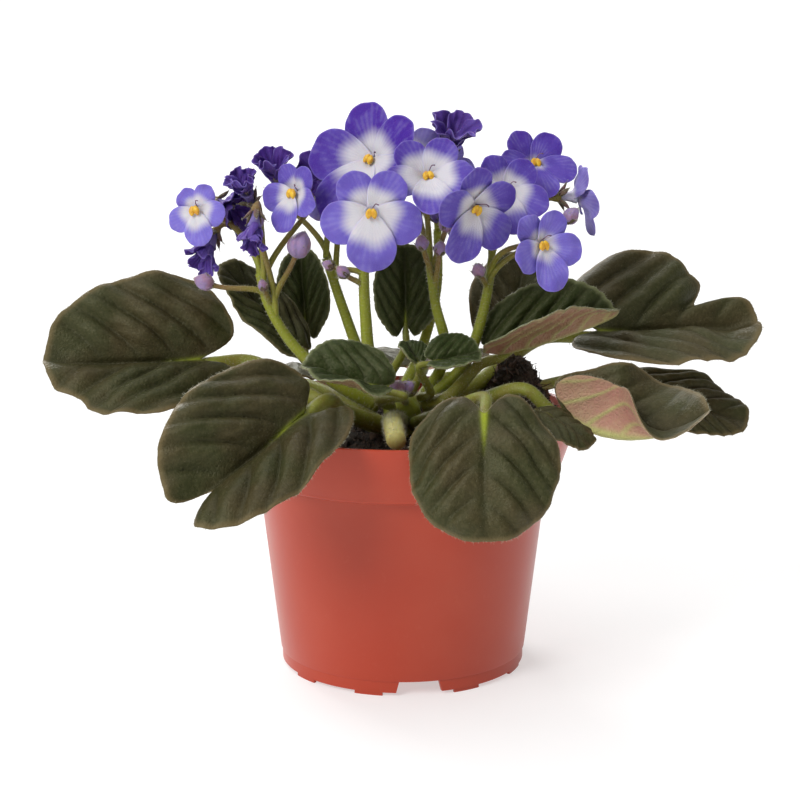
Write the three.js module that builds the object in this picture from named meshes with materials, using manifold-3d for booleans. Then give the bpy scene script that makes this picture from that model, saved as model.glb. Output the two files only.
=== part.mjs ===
// A potted African violet: a moulded nursery pot with its potting mix, a short crown, leaves on fleshy
// stalks, and branched flower stalks that carry buds and five-petalled blooms.
// Millimetres, +Z up. The origin is on the pot's axis, at the surface the pot stands on.
// -Y is the plant's front. Every leaf, flower stalk and bloom is one solid of its own.
import * as THREE from "three";
import { mergeVertices } from "three/addons/utils/BufferGeometryUtils.js";
import Module from "manifold-3d";

const wasm = await Module();
wasm.setup();

// ---------------------------------------------------------------- driving dimensions

const GAP = 0.3; // clearance between pieces that touch

const POT = {
  sides: 36,
  height: 87.3,
  rimRadius: 60,
  collarBottom: 68.2, // lower edge of the flared collar
  collarRadius: 53.4,
  bodyRadius: 49.5, // just under the collar
  baseRadius: 42.2,
  wall: 1.4,
  shoulder: 2.4, // height over which the wall steps in behind the collar
};
// ring that holds the floor off the table, and how far the cuts through it run past its two faces
const SKIRT = { bottom: 1.2, top: 5, radius: 41.7, thickness: 1.6, spare: 1 };
const NOTCH = { count: 3, turn: -82.5, halfAngle: 10.5, slant: 1.5 }; // gaps in the skirt for water
const FOOT = { turns: [-23.5, 23.5, 60], halfAngle: 6.7, sink: 0.8, inset: 0.3 };
const DRAIN = { radius: 4, ring: 28, count: 5, sides: 6 };

const MIX = { top: 79, rings: 3, crumb: 0.9 };
const MOUND = { x: 38, y: 14, height: 25, spread: 12 }; // heap of mix behind the right-hand leaves
const CROWN = { bottom: 76, top: 93, radius: 7, dome: 2.8, sides: 12 };
// a leaf stalk whose blade has been cut off, and a young flower stalk with its first buds
const CUT_STALK = {
  path: [[-1, -5, 84], [-3, -20, 88], [-3, -36, 90], [-2, -50, 88]],
  radius: 3.2,
  steps: 5,
  sides: 6,
};
const YOUNG_STALK = { path: [[1, -5, 91], [0, -14, 94], [-2, -24, 98]], radius: 1.1, steps: 3, sides: 5 };
const YOUNG_BUDS = [
  { at: [-1, -29, 103], size: 7 },
  { at: [4, -26, 102], size: 5.5 },
];

// hub: where a blade's rays start, as a share of its length. back: how far it reaches behind its stalk.
// sinus: depth of the heart-shaped inlet at the stalk. neck: how much it narrows towards its base.
const LEAF = { hub: 0.22, thickness: 1.3, edge: 0.8, back: 0.17, sinus: 0.24, neck: 0 };
const LEAF_SIZES = {
  large: { rays: 20, rings: [0.4, 0.75, 1] },
  small: { rays: 14, rings: [0.6, 1] },
  smallUnder: 45,
};
const OPENS = [0.1, 0.7]; // shares of a blade's length between which its fold becomes the fold at its tip
const SINUS_WIDTH = 0.34; // half angle, in radians, of the heart-shaped inlet at a leaf's stalk
const RAY_CLEAR = 0.1; // least angle between an even ray and a ray that follows a nip in the margin
const STEP = 0.01; // share of a blade's length over which its slope is taken
const LEAF_STALK = {
  root: 3.2, // radii where it leaves the crown, where it meets the blade, and where it fades out
  end: 2.1,
  tip: 0.9,
  clear: 1.6, // distance of its root's middle from the crown
  leave: 0.3, // shares of its reach at which it rises from the crown and turns into the blade
  arrive: 0.22,
  arch: 0.12,
  sink: 0.7, // depth of its middle below the blade, in its own radii
  fade: 0.5, // the same where it ends
  under: 0.1, // share of the blade that its end runs under
  fullAt: 60, // blade length of a full-sized stalk, and the least share of that size
  least: 0.5,
  steps: 6,
  sides: 6,
};

const PETAL = { hub: 0.5, rings: [1], thickness: 0.7, edge: 0.6, back: 0.04, sinus: 0, neck: 0.55 };
const FRESH = { rays: 8, breadth: 0.88, recurve: 18, ruffle: 0.3, waves: 10 };
const FADED = { rays: 6, breadth: 1.25, recurve: -14, ruffle: 0.6, waves: 10 };
const PETALS = [
  { turn: 54, scale: 0.9, layer: 0, upper: true },
  { turn: 126, scale: 0.9, layer: -1, upper: true },
  { turn: -18, scale: 1, layer: 1 },
  { turn: 198, scale: 1, layer: 1 },
  { turn: 270, scale: 1.12, layer: 2 },
];
const LAYER = 0.9; // spacing of overlapping petals
const THROAT = { length: 4, front: 2.4, frontRadius: 2.2, rearRadius: 1.4, sides: 5 };
const ANTHER = { length: 3.4, width: 2.1, depth: 1.8, spread: 1.6, splay: 12, segments: 4 };

const STALK = { end: 0.7, steps: 6, sides: 5, forks: 0.3 };
const PEDICEL = { root: 1.1, end: 0.8, swing: 0.42, steps: 3, sides: 5 };
const CALYX = { radius: 2.6 }; // flare at the end of a pedicel, with a corner for each sepal
const BUD = { breadth: 0.8, seat: 0.4, segments: 6 };

// ---------------------------------------------------------------- leaves
// bearing: direction in which the stalk leaves the crown, in degrees from +X. rise: its height there.
// base: where the blade joins its stalk. heading, pitch, roll: the way the blade points there, in degrees.
// bend curls the midrib down. fold and cup lift the left and right halves, foldTip is the fold at the tip,
// and opens says where the one turns into the other. ruffle is the height of the margin's waves.
// bites are nips out of the margin, or bulges where the depth is negative, at angles in radians.
// tuck: how far behind the blade its stalk arrives.

const LEAVES = [
  { name: "leaf_left_far", bearing: 180, rise: 82, base: [-65.3, 12, 102.1], heading: 190, pitch: 1,
    roll: -54, length: 66, width: 59, back: 0.13, bend: 8, fold: [34, 20], cup: [-14, -14],
    ruffle: 1.2, ruffles: 4, phase: 1,
    bites: [{ at: 0.74, width: 0.22, depth: 0.14 }, { at: -2.2, width: 0.5, depth: -0.13 }] },
  { name: "leaf_left_front", bearing: 220, rise: 83, base: [-31.5, -52, 96.2], heading: 230,
    pitch: -20, roll: -46, length: 67, width: 56, back: 0.2, bend: 30, fold: [38, 12], cup: [-12, -16],
    ruffle: 1, ruffles: 4, phase: 0,
    bites: [{ at: 0.02, width: 0.14, depth: 0.4 }, { at: 1.65, width: 0.7, depth: 0.24 }] },
  { name: "leaf_front", bearing: 300, rise: 84, base: [25, -60.6, 98.5], heading: 268, pitch: -52,
    roll: 0, length: 50, width: 48, back: 0.2, bend: 30, fold: [-8, -8], cup: [-14, -14], ruffle: 0.6,
    ruffles: 5, phase: 0.5, tuck: 12 },
  { name: "leaf_right_back", bearing: 24, rise: 86, base: [61.2, 20, 110], heading: 6, pitch: 2,
    roll: 34, length: 71, width: 63, back: 0.1, bend: 2, fold: [24, 24], cup: [-8, -6], ruffle: 0.8,
    ruffles: 4, phase: 2,
    bites: [{ at: 0.62, width: 0.17, depth: 0.42 }, { at: 0.95, width: 0.42, depth: 0.2 }] },
  { name: "leaf_right_folded_up", bearing: 330, rise: 90, base: [32, -4, 107], heading: 2, pitch: 18,
    roll: 14, length: 48, width: 38, back: 0.12, bend: 0, fold: [58, 44], cup: [4, 4], ruffle: 0.4,
    ruffles: 4, phase: 0 },
  { name: "leaf_right_folded_low", bearing: 345, rise: 84, base: [48.5, -20, 93.2], heading: 350,
    pitch: -38, roll: 10, length: 64, width: 48, back: 0.1, bend: -88, fold: [64, 100],
    foldTip: [36, 16], opens: [0.3, 0.7], cup: [-8, -14], ruffle: 0.8, ruffles: 4, phase: 1,
    bites: [{ at: -1.75, width: 0.5, depth: 0.3 }] },
  { name: "leaf_right_low", bearing: 8, rise: 80, base: [83, 24, 89.5], heading: 350, pitch: -14,
    roll: 30, length: 46, width: 31, back: 0.14, bend: 6, fold: [6, 6], cup: [-8, -8], ruffle: 0.8,
    ruffles: 4, phase: 0 },
  { name: "leaf_under_right", bearing: 318, rise: 80, base: [44, -31, 93.4], heading: 338, pitch: -10,
    roll: 4, length: 25, width: 24, back: 0.16, bend: 44, fold: [-8, -8], cup: [-10, -10], ruffle: 0.8,
    ruffles: 4, phase: 0 },
  { name: "leaf_young_left", bearing: 244, rise: 90, base: [-6, -36.5, 102], heading: 176, pitch: 14,
    roll: -38, length: 31, width: 28, back: 0.12, bend: -4, fold: [30, 10], cup: [24, 6], ruffle: 0.6,
    ruffles: 5, phase: 0 },
  { name: "leaf_young_right", bearing: 312, rise: 93, base: [9, -17, 107], heading: 8, pitch: 10,
    roll: 34, length: 19, width: 18, back: 0.1, bend: 0, fold: [16, 16], cup: [10, 16], ruffle: 0.3,
    ruffles: 4, phase: 0 },
  { name: "leaf_young_centre", bearing: 286, rise: 95, base: [5, -11, 106], heading: 120, pitch: 34,
    roll: 0, length: 11, width: 11, back: 0.1, bend: 0, fold: [16, 16], cup: [16, 16], ruffle: 0.3,
    ruffles: 4, phase: 0 },
  { name: "leaf_centre_back", bearing: 112, rise: 90, base: [1, 14, 112], heading: 92, pitch: 66,
    roll: 0, length: 34, width: 23, back: 0.1, bend: -10, fold: [12, 12], cup: [8, 8], ruffle: 0.4,
    ruffles: 4, phase: 0 },
  { name: "leaf_back_left_inner", bearing: 136, rise: 88, base: [-34, 26, 109], heading: 100,
    pitch: 66, roll: -10, length: 34, width: 20, back: 0.1, bend: -8, fold: [16, 16], cup: [10, 10],
    ruffle: 0.4, ruffles: 4, phase: 0 },
  { name: "leaf_back_left", bearing: 162, rise: 88, base: [-36, 13, 106], heading: 170, pitch: 48,
    roll: -36, length: 44, width: 21, back: 0.1, bend: 4, fold: [8, 8], cup: [8, 8], ruffle: 0.6,
    ruffles: 4, phase: 0 },
  { name: "leaf_back_right_inner", bearing: 56, rise: 88, base: [38, 40, 103], heading: 70, pitch: 54,
    roll: 12, length: 42, width: 36, back: 0.14, bend: 0, fold: [14, 14], cup: [10, 10], ruffle: 0.6,
    ruffles: 4, phase: 0 },
  { name: "leaf_back", bearing: 94, rise: 82, base: [7, 50, 94], heading: 90, pitch: -2, roll: 0,
    length: 53, width: 52, bend: 30, fold: [6, 6], cup: [-8, -8], ruffle: 1, ruffles: 4, phase: 0 },
  { name: "leaf_back_left_low", bearing: 140, rise: 80, base: [-43, 38, 90.5], heading: 140, pitch: -4,
    roll: 4, length: 54, width: 48, bend: 28, fold: [6, 6], cup: [-8, -8], ruffle: 1, ruffles: 4,
    phase: 2 },
];

// ---------------------------------------------------------------- flower stalks and their blooms
// path: from the crown up to the head, where the pedicels fork. buds: their tips and lengths.
// blooms: at is the throat. turn: degrees from the front towards +X. lift: degrees above the horizon.
// roll turns the face. size: width across the flat face. open: degrees the petals stand forward.
// upper scales the two upper petals. A faded bloom has shrivelled petals and shows no anthers.

const STALKS = [
  { name: "flower_stalk_left", radius: 2.1,
    path: [[-10, -3.5, 90], [-22, -8, 98], [-36, -6, 110], [-45, -3, 124], [-48, 0, 134]],
    buds: [
      { at: [-70, -6, 133.5], size: 7 },
      { at: [-47, -8, 133.5], size: 4 },
      { at: [-32, -8, 150], size: 9.5 },
      { at: [-49, -6, 157], size: 6.5 },
    ],
    blooms: [
      { at: [-68, 0, 155], turn: -18, lift: 8, roll: 12, size: 22, open: 14 },
      { at: [-60, 16, 155], turn: 50, lift: -14, roll: 0, size: 25, open: 36, faded: true },
      { at: [-52, 6, 160], turn: -20, lift: 44, roll: 0, size: 22, open: 50, faded: true },
      { at: [-34.5, -5, 161], turn: -38, lift: 10, roll: -4, size: 26, open: 26 },
      { at: [-48.5, -12, 152], turn: -10, lift: -64, roll: 0, size: 20, open: 54, faded: true },
      { at: [-65, 8, 143], turn: -30, lift: -50, roll: 0, size: 22, open: 46, faded: true },
    ] },
  { name: "flower_stalk_centre", radius: 2.3,
    path: [[-2, -9.5, 94], [-10, -8, 104], [-12.5, -6, 122], [-13, -6, 140]],
    buds: [{ at: [-27, -8, 139], size: 4 }, { at: [-22, -10, 138], size: 5 }],
    blooms: [
      { at: [-9.5, 1, 171], turn: -34, lift: 22, roll: -18, size: 48, open: 24 },
      { at: [-10, -27.5, 157.5], turn: 0, lift: 2, roll: 0, size: 35, open: 8 },
    ] },
  { name: "flower_stalk_left_back", radius: 2.1,
    path: [[-7, 7.5, 92], [-14, 7, 104], [-20, 8, 120], [-26, 9, 138]],
    buds: [],
    blooms: [
      { at: [-27, 12, 164], turn: -20, lift: 16, roll: 0, size: 26, open: 34, faded: true },
      { at: [-42, 9, 164], turn: -16, lift: 50, roll: 0, size: 28, open: 52, faded: true },
      { at: [-26, 30, 160], turn: 200, lift: 20, roll: 0, size: 27, open: 16 },
    ] },
  { name: "flower_stalk_right", radius: 2.1,
    path: [[8, 6, 92], [13, 0, 102], [14, -4, 112], [11, -5, 124], [9, -5, 138]],
    buds: [
      { at: [15.5, -12, 156.5], size: 7 },
      { at: [5.5, -13, 149], size: 5.5 },
      { at: [12.5, -13, 147], size: 5 },
    ],
    blooms: [
      { at: [8, -15, 166.5], turn: 4, lift: 34, roll: 4, size: 35, open: 33 },
      { at: [11, 6, 153], turn: 40, lift: -10, roll: 0, size: 22, open: 54, faded: true },
    ] },
  { name: "flower_stalk_far_right", radius: 2.1,
    path: [[11, -0.5, 93], [21, -3, 104], [27, -3.5, 122], [30, 2, 138]],
    buds: [{ at: [24, -10, 139], size: 5.5 }, { at: [59, 2, 156], size: 6.5 }],
    blooms: [
      { at: [22, -23, 159], turn: 30, lift: -14, roll: -28, size: 35, open: 26 },
      { at: [33.5, -3, 161], turn: 18, lift: 22, roll: -10, size: 32, open: 28 },
      { at: [44, 16, 168], turn: 20, lift: 34, roll: -8, size: 32, open: 30 },
      { at: [57, 8, 159], turn: 100, lift: 2, roll: 0, size: 28, open: 30 },
      { at: [43.5, -24, 146.5], turn: 29, lift: 6, roll: 6, size: 30, open: 30 },
    ] },
  { name: "flower_stalk_back", radius: 2,
    path: [[0, 10.5, 92], [7, 20, 106], [12, 24, 126], [12, 22, 146]],
    buds: [],
    blooms: [
      { at: [4, 17, 170], turn: 165, lift: 32, roll: 0, size: 32, open: 26 },
      { at: [16, 12, 175], turn: 14, lift: 50, roll: 0, size: 30, open: 46, faded: true },
      { at: [12, 34, 166], turn: 176, lift: 24, roll: 0, size: 29, open: 18 },
    ] },
];

// ---------------------------------------------------------------- finishes

const FINISH = {
  pot: { color: 0xb3492f, roughness: 0.45 },
  mix: { color: 0x2a1d14, roughness: 1 },
  crown: { color: 0x7d8a3a, roughness: 0.7 },
  leaf: { color: 0x3c4530, roughness: 0.8 },
  stalk: { color: 0x8a9a3c, roughness: 0.7 },
  petal: { color: 0x6a52c4, roughness: 0.75 },
  anther: { color: 0xf2b705, roughness: 0.6 },
};

// ---------------------------------------------------------------- solids

const rad = THREE.MathUtils.degToRad;
const vec = (point) => new THREE.Vector3(...point);
const sinc = (x) => (Math.abs(x) < 1e-6 ? 1 : Math.sin(x) / x);
const bump = (x, width) => Math.exp(-((x / width) ** 2));

/** Repeatable number from -1 to 1 for the nth random draw. */
function jitter(n) {
  const wave = Math.sin(n * 12.9898) * 43758.5453;
  return 2 * (wave - Math.floor(wave)) - 1;
}

/** Direction at a given angle, in degrees, round +Z from +X. */
function around(angle, radius, height) {
  return new THREE.Vector3(radius * Math.cos(rad(angle)), radius * Math.sin(rad(angle)), height);
}

/** Indexed geometry from a list of points and a list of corner triples. */
function polyhedron(points, corners) {
  const geometry = new THREE.BufferGeometry().setFromPoints(points);
  geometry.setIndex(corners.flat());
  return geometry;
}

/** Closed solid from a closed geometry. */
function solidOf(geometry) {
  const bare = geometry.clone();
  bare.deleteAttribute("normal");
  bare.deleteAttribute("uv");
  const merged = mergeVertices(bare, 1e-4);
  const index = merged.index.array;
  const corners = [];
  for (let i = 0; i < index.length; i += 3) {
    const [a, b, c] = index.slice(i, i + 3);
    if (a !== b && b !== c && c !== a) corners.push(a, b, c);
  }
  const mesh = new wasm.Mesh({
    numProp: 3,
    vertProperties: new Float32Array(merged.attributes.position.array),
    triVerts: new Uint32Array(corners),
  });
  return new wasm.Manifold(mesh);
}

/** All the given geometries as one solid. */
function fuse(geometries) {
  return geometries.map(solidOf).reduce((whole, piece) => whole.add(piece));
}

/** The largest separate piece of a solid, without loose scraps or sealed hollows. */
function outerBody(solid) {
  return solid.decompose().reduce((best, piece) => (piece.volume() > best.volume() ? piece : best));
}

/** Named mesh of a solid, in one of the finishes. */
function meshOf(name, solid, finish) {
  const { vertProperties, triVerts } = solid.getMesh();
  const geometry = new THREE.BufferGeometry();
  geometry.setAttribute("position", new THREE.BufferAttribute(vertProperties, 3));
  geometry.setIndex(new THREE.BufferAttribute(triVerts, 1));
  geometry.computeVertexNormals();
  const mesh = new THREE.Mesh(geometry, new THREE.MeshStandardMaterial(FINISH[finish]));
  mesh.name = name;
  return mesh;
}

// ---------------------------------------------------------------- stems

/** Closed body of equal rings of points, one after another, with a middle point at each end. */
function tubeOf(rings, sides, start, end) {
  const last = rings.length - sides;
  const [first, final] = [rings.length, rings.length + 1];
  const corners = [];
  for (let j = 0; j < sides; j++) {
    const k = (j + 1) % sides;
    corners.push([first, k, j], [final, last + j, last + k]);
    for (let i = 0; i < last; i += sides) {
      corners.push([i + j, i + k, i + sides + k], [i + j, i + sides + k, i + sides + j]);
    }
  }
  return polyhedron([...rings, start, end], corners);
}

/** Closed stem along a curve, with a ring of corners at every step and a flat end at each end. */
function stem(curve, steps, sides, radiusAt) {
  const { normals, binormals } = curve.computeFrenetFrames(steps, false);
  const rings = [];
  for (let i = 0; i <= steps; i++) {
    const centre = curve.getPointAt(i / steps);
    const radius = radiusAt(i / steps);
    for (let j = 0; j < sides; j++) {
      const angle = (2 * Math.PI * j) / sides;
      const corner = centre.clone().addScaledVector(normals[i], radius * Math.cos(angle));
      rings.push(corner.addScaledVector(binormals[i], radius * Math.sin(angle)));
    }
  }
  return tubeOf(rings, sides, curve.getPointAt(0), curve.getPointAt(1));
}

// ---------------------------------------------------------------- blades

/** Point of a leaf's middle surface, s along the midrib and t to its left, in the blade's own frame. */
function leafPoint(shape, s, t) {
  const droop = (rad(shape.bend) * s) / (2 * shape.length);
  const side = t < 0 ? 1 : 0;
  const curl = (rad(shape.cup[side]) * Math.abs(t)) / shape.width;
  const out = Math.abs(t) * sinc(curl);
  const foldTip = (shape.foldTip ?? shape.fold)[side];
  const opened = THREE.MathUtils.smoothstep(s / shape.length, ...(shape.opens ?? OPENS));
  const fold = THREE.MathUtils.lerp(shape.fold[side], foldTip, opened);
  const rise = rad(fold) + curl;
  const lift = out * Math.sin(rise);
  return new THREE.Vector3(
    s * sinc(droop) * Math.cos(droop) + lift * Math.sin(2 * droop),
    Math.sign(t) * out * Math.cos(rise),
    lift * Math.cos(2 * droop) - s * sinc(droop) * Math.sin(droop),
  );
}

/** Place along and across the midrib of the margin, at an angle round the blade's middle. */
function marginAt(shape, plan, angle) {
  let reach = 1 - plan.sinus * bump(Math.PI - Math.abs(angle), SINUS_WIDTH);
  for (const bite of shape.bites ?? []) reach -= bite.depth * bump(angle - bite.at, bite.width);
  const middle = 0.5 - (shape.back ?? plan.back);
  const half = 0.5 * shape.width * (1 - plan.neck * Math.sin(angle / 2) ** 4);
  return [shape.length * (middle + 0.5 * reach * Math.cos(angle)), reach * half * Math.sin(angle)];
}

/** Angles of a blade's rays: even ones, with three more across each bite. */
function rayAngles(shape, plan) {
  const even = Array.from({ length: plan.rays }, (_, j) => Math.PI * ((2 * j) / plan.rays - 1));
  const extra = (shape.bites ?? []).flatMap(({ at, width }) => [at - width, at, at + width]);
  const clear = even.filter((angle) => extra.every((one) => Math.abs(angle - one) > RAY_CLEAR));
  return [...clear, ...extra].sort((a, b) => a - b);
}

/** Thin closed blade on a surface: rays from its base, crossed by rings, split alike on its two faces. */
function blade(shape, plan, surface) {
  const step = STEP * shape.length;
  const faces = [[], []];
  const place = (s, t, ring, angle) => {
    const middle = surface(s, t);
    const along = surface(s + step, t).sub(surface(s - step, t));
    const across = surface(s, t + step).sub(surface(s, t - step));
    const normal = along.cross(across).normalize();
    const wave = shape.ruffle * Math.sin(shape.ruffles * angle + shape.phase);
    middle.addScaledVector(normal, ring ** 2 * wave);
    const half = 0.5 * THREE.MathUtils.lerp(plan.thickness, plan.edge, ring ** 2);
    faces[0].push(middle.clone().addScaledVector(normal, half));
    faces[1].push(middle.clone().addScaledVector(normal, -half));
  };
  const hub = plan.hub * shape.length;
  place(hub, 0, 0, 0);
  const angles = rayAngles(shape, plan);
  const rays = angles.length;
  for (const ring of plan.rings) {
    for (const angle of angles) {
      const [s, t] = marginAt(shape, plan, angle);
      place(THREE.MathUtils.lerp(hub, s, ring), ring * t, ring, angle);
    }
  }
  const under = faces[0].length;
  const corners = [];
  const both = (a, b, c) => corners.push([a, b, c], [under + a, under + c, under + b]);
  for (let j = 0; j < rays; j++) {
    const k = (j + 1) % rays;
    both(0, 1 + j, 1 + k);
    for (let i = 1; i <= rays * (plan.rings.length - 1); i += rays) {
      both(i + j, i + rays + j, i + rays + k);
      both(i + j, i + rays + k, i + k);
    }
    const rim = 1 + rays * (plan.rings.length - 1);
    corners.push([rim + j, under + rim + j, under + rim + k], [rim + j, under + rim + k, rim + k]);
  }
  return polyhedron(faces.flat(), corners);
}

// ---------------------------------------------------------------- pot and potting mix

/** Ring of the skirt between two angles, as a block that spans it with room to spare. */
function skirtBlock(turn, halfAngle, slant, bottom, top, inner, outer) {
  const points = [];
  for (const [height, spread] of [[bottom, halfAngle], [top, halfAngle - slant]]) {
    points.push(around(turn - spread, inner, height), around(turn - spread, outer, height));
    points.push(around(turn + spread, outer, height), around(turn + spread, inner, height));
  }
  const corners = [[0, 2, 1], [0, 3, 2], [4, 5, 6], [4, 6, 7]];
  for (let j = 0; j < 4; j++) {
    const k = (j + 1) % 4;
    corners.push([j, k, 4 + k], [j, 4 + k, 4 + j]);
  }
  return polyhedron(points, corners);
}

/** Solid turned round the pot's axis from [radius, height] pairs. */
function turned(profile, sides) {
  const geometry = new THREE.LatheGeometry(profile.map(([r, z]) => new THREE.Vector2(r, z)), sides);
  return geometry.rotateX(Math.PI / 2);
}

function potSolid() {
  const inner = SKIRT.radius - SKIRT.thickness;
  const floor = SKIRT.top + POT.wall;
  const profile = [
    [0, SKIRT.top],
    [inner, SKIRT.top],
    [inner, SKIRT.bottom],
    [SKIRT.radius, SKIRT.bottom],
    [SKIRT.radius, SKIRT.top],
    [POT.baseRadius, SKIRT.top],
    [POT.bodyRadius, POT.collarBottom],
    [POT.collarRadius, POT.collarBottom],
    [POT.rimRadius, POT.height],
    [POT.rimRadius - POT.wall, POT.height],
    [POT.collarRadius - POT.wall, POT.collarBottom + POT.wall],
    [POT.bodyRadius - POT.wall, POT.collarBottom + POT.wall - POT.shoulder],
    [POT.baseRadius - POT.wall, floor],
    [0, floor],
  ];
  let pot = solidOf(turned(profile, POT.sides));
  for (let i = 0; i < NOTCH.count; i++) {
    const turn = NOTCH.turn + (360 * i) / NOTCH.count;
    const [nearer, farther] = [inner - SKIRT.spare, POT.baseRadius + SKIRT.spare];
    const gap = skirtBlock(turn, NOTCH.halfAngle, NOTCH.slant, 0, SKIRT.top, nearer, farther);
    pot = pot.subtract(solidOf(gap));
    for (const offset of FOOT.turns) {
      const [near, far] = [inner + FOOT.inset, SKIRT.radius - FOOT.inset];
      const foot = skirtBlock(turn + offset, FOOT.halfAngle, 0, 0, SKIRT.bottom + FOOT.sink, near, far);
      pot = pot.add(solidOf(foot));
    }
  }
  for (let i = 0; i < DRAIN.count; i++) {
    const place = around((360 * i) / DRAIN.count, DRAIN.ring, floor);
    const bore = new THREE.CylinderGeometry(DRAIN.radius, DRAIN.radius, 2 * floor, DRAIN.sides);
    pot = pot.subtract(solidOf(bore.rotateX(Math.PI / 2).translate(place.x, place.y, place.z)));
  }
  return pot;
}

/** Side walls up to the surface, then rings of crumbly surface drawn in to the middle. */
function mixSolid() {
  const clear = POT.wall + GAP;
  const shoulder = POT.collarBottom + POT.wall;
  const slope = (POT.rimRadius - POT.collarRadius) / (POT.height - POT.collarBottom);
  const edge = POT.collarRadius - clear + slope * (MIX.top - MIX.crumb - shoulder);
  const rings = [
    [POT.baseRadius - clear, SKIRT.top + clear],
    [POT.bodyRadius - clear, shoulder - POT.shoulder],
    [POT.collarRadius - clear, shoulder],
  ];
  for (let i = 0; i < MIX.rings; i++) rings.push([edge * (1 - i / MIX.rings), MIX.top]);
  const points = [];
  for (const [radius, height] of rings) {
    for (let j = 0; j < POT.sides; j++) {
      const point = around((360 * j) / POT.sides, radius, height);
      const heap = bump(Math.hypot(point.x - MOUND.x, point.y - MOUND.y), MOUND.spread);
      if (height === MIX.top) point.z += MOUND.height * heap + MIX.crumb * jitter(points.length);
      points.push(point);
    }
  }
  const top = new THREE.Vector3(0, 0, MIX.top);
  return solidOf(tubeOf(points, POT.sides, new THREE.Vector3(0, 0, rings[0][1]), top));
}

/** Short woody crown that the leaves and flower stalks stand round, with the young growth on it. */
function crownSolid() {
  const profile = [
    [0, CROWN.bottom],
    [CROWN.radius, CROWN.bottom],
    [CROWN.radius, CROWN.top - CROWN.dome],
    [0, CROWN.top],
  ];
  const along = ({ path, steps, sides, radius }) =>
    stem(new THREE.CatmullRomCurve3(path.map(vec)), steps, sides, () => radius);
  const head = vec(YOUNG_STALK.path.at(-1));
  const buds = YOUNG_BUDS.map(({ at, size }) => {
    const facing = vec(at).sub(head).normalize();
    return bud(vec(at).addScaledVector(facing, -size), facing, size);
  });
  return fuse([turned(profile, CROWN.sides), along(CUT_STALK), along(YOUNG_STALK), ...buds]);
}

// ---------------------------------------------------------------- leaves

/** Turns a blade from its own frame to its place. */
function bladePlace(leaf) {
  const turn = new THREE.Euler(rad(leaf.roll), -rad(leaf.pitch), rad(leaf.heading), "ZYX");
  return new THREE.Matrix4().makeRotationFromEuler(turn).setPosition(vec(leaf.base));
}

/** Course and radius of a leaf's stalk, from the crown to its blade and a little way under it. */
function leafStalk(leaf) {
  const place = bladePlace(leaf);
  const size = THREE.MathUtils.clamp(leaf.length / LEAF_STALK.fullAt, LEAF_STALK.least, 1);
  const under = (share, depth) =>
    leafPoint(leaf, share * leaf.length, 0).add(new THREE.Vector3(0, 0, -size * depth)).applyMatrix4(place);
  const start = CROWN.radius + LEAF_STALK.clear;
  const root = around(leaf.bearing, start, leaf.rise);
  const meet = under(0, LEAF_STALK.sink * LEAF_STALK.end);
  const reach = root.distanceTo(meet);
  const leave = around(leaf.bearing, start + LEAF_STALK.leave * reach, leaf.rise + LEAF_STALK.arch * reach);
  const heading = new THREE.Vector3().setFromMatrixColumn(place, 0);
  const upright = new THREE.Vector3().setFromMatrixColumn(place, 2);
  const arrive = meet.clone().addScaledVector(heading, -LEAF_STALK.arrive * reach);
  arrive.addScaledVector(upright, -(leaf.tuck ?? 0));
  const end = under(LEAF_STALK.under, LEAF_STALK.fade * LEAF_STALK.tip);
  const curve = new THREE.CatmullRomCurve3([root, leave, arrive, meet, end]);
  const share = 1 - meet.distanceTo(end) / curve.getLength();
  const radiusAt = (t) => {
    const width = THREE.MathUtils.lerp(LEAF_STALK.root, LEAF_STALK.end, Math.min(1, t / share));
    return size * THREE.MathUtils.lerp(width, LEAF_STALK.tip, Math.max(0, (t - share) / (1 - share)));
  };
  return { curve, radiusAt };
}

function leafStem(leaf, extra = 0) {
  const { curve, radiusAt } = leafStalk(leaf);
  return stem(curve, LEAF_STALK.steps, LEAF_STALK.sides, (t) => radiusAt(t) + extra);
}

function leafSolid(leaf) {
  const size = leaf.length < LEAF_SIZES.smallUnder ? LEAF_SIZES.small : LEAF_SIZES.large;
  const sheet = blade(leaf, { ...LEAF, ...size }, (s, t) => leafPoint(leaf, s, t));
  return fuse([sheet.applyMatrix4(bladePlace(leaf)), leafStem(leaf)]);
}

// ---------------------------------------------------------------- blooms

/** Frame of a bloom: x to its right and y up as it is looked at, z the way it faces. */
function bloomPlace(bloom) {
  const turn = rad(bloom.turn);
  const lift = rad(bloom.lift);
  const level = new THREE.Vector3(Math.sin(turn), -Math.cos(turn), 0);
  const upright = new THREE.Vector3(0, 0, 1);
  const facing = level.clone().multiplyScalar(Math.cos(lift)).addScaledVector(upright, Math.sin(lift));
  const up = level.clone().multiplyScalar(-Math.sin(lift)).addScaledVector(upright, Math.cos(lift));
  const right = up.clone().cross(facing);
  const place = new THREE.Matrix4().makeBasis(right, up, facing).setPosition(vec(bloom.at));
  return place.multiply(new THREE.Matrix4().makeRotationZ(rad(bloom.roll)));
}

/** Point of a bloom's shallow bowl, s and t from the throat along a petal's own directions. */
function bowlPoint(bloom, manner, one, s, t) {
  const reach = Math.hypot(s, t);
  const angle = Math.atan2(t, s) + rad(one.turn);
  const droop = (rad(manner.recurve) * reach) / bloom.size;
  const slope = rad(bloom.open) - droop;
  const wave = manner.ruffle * (reach / bloom.size) * Math.sin(manner.waves * angle);
  const level = LAYER * one.layer + wave;
  const out = reach * sinc(droop) * Math.cos(slope) - level * Math.sin(slope - droop);
  const forward = reach * sinc(droop) * Math.sin(slope) + level * Math.cos(slope - droop);
  return new THREE.Vector3(out * Math.cos(angle), out * Math.sin(angle), forward);
}

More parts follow.
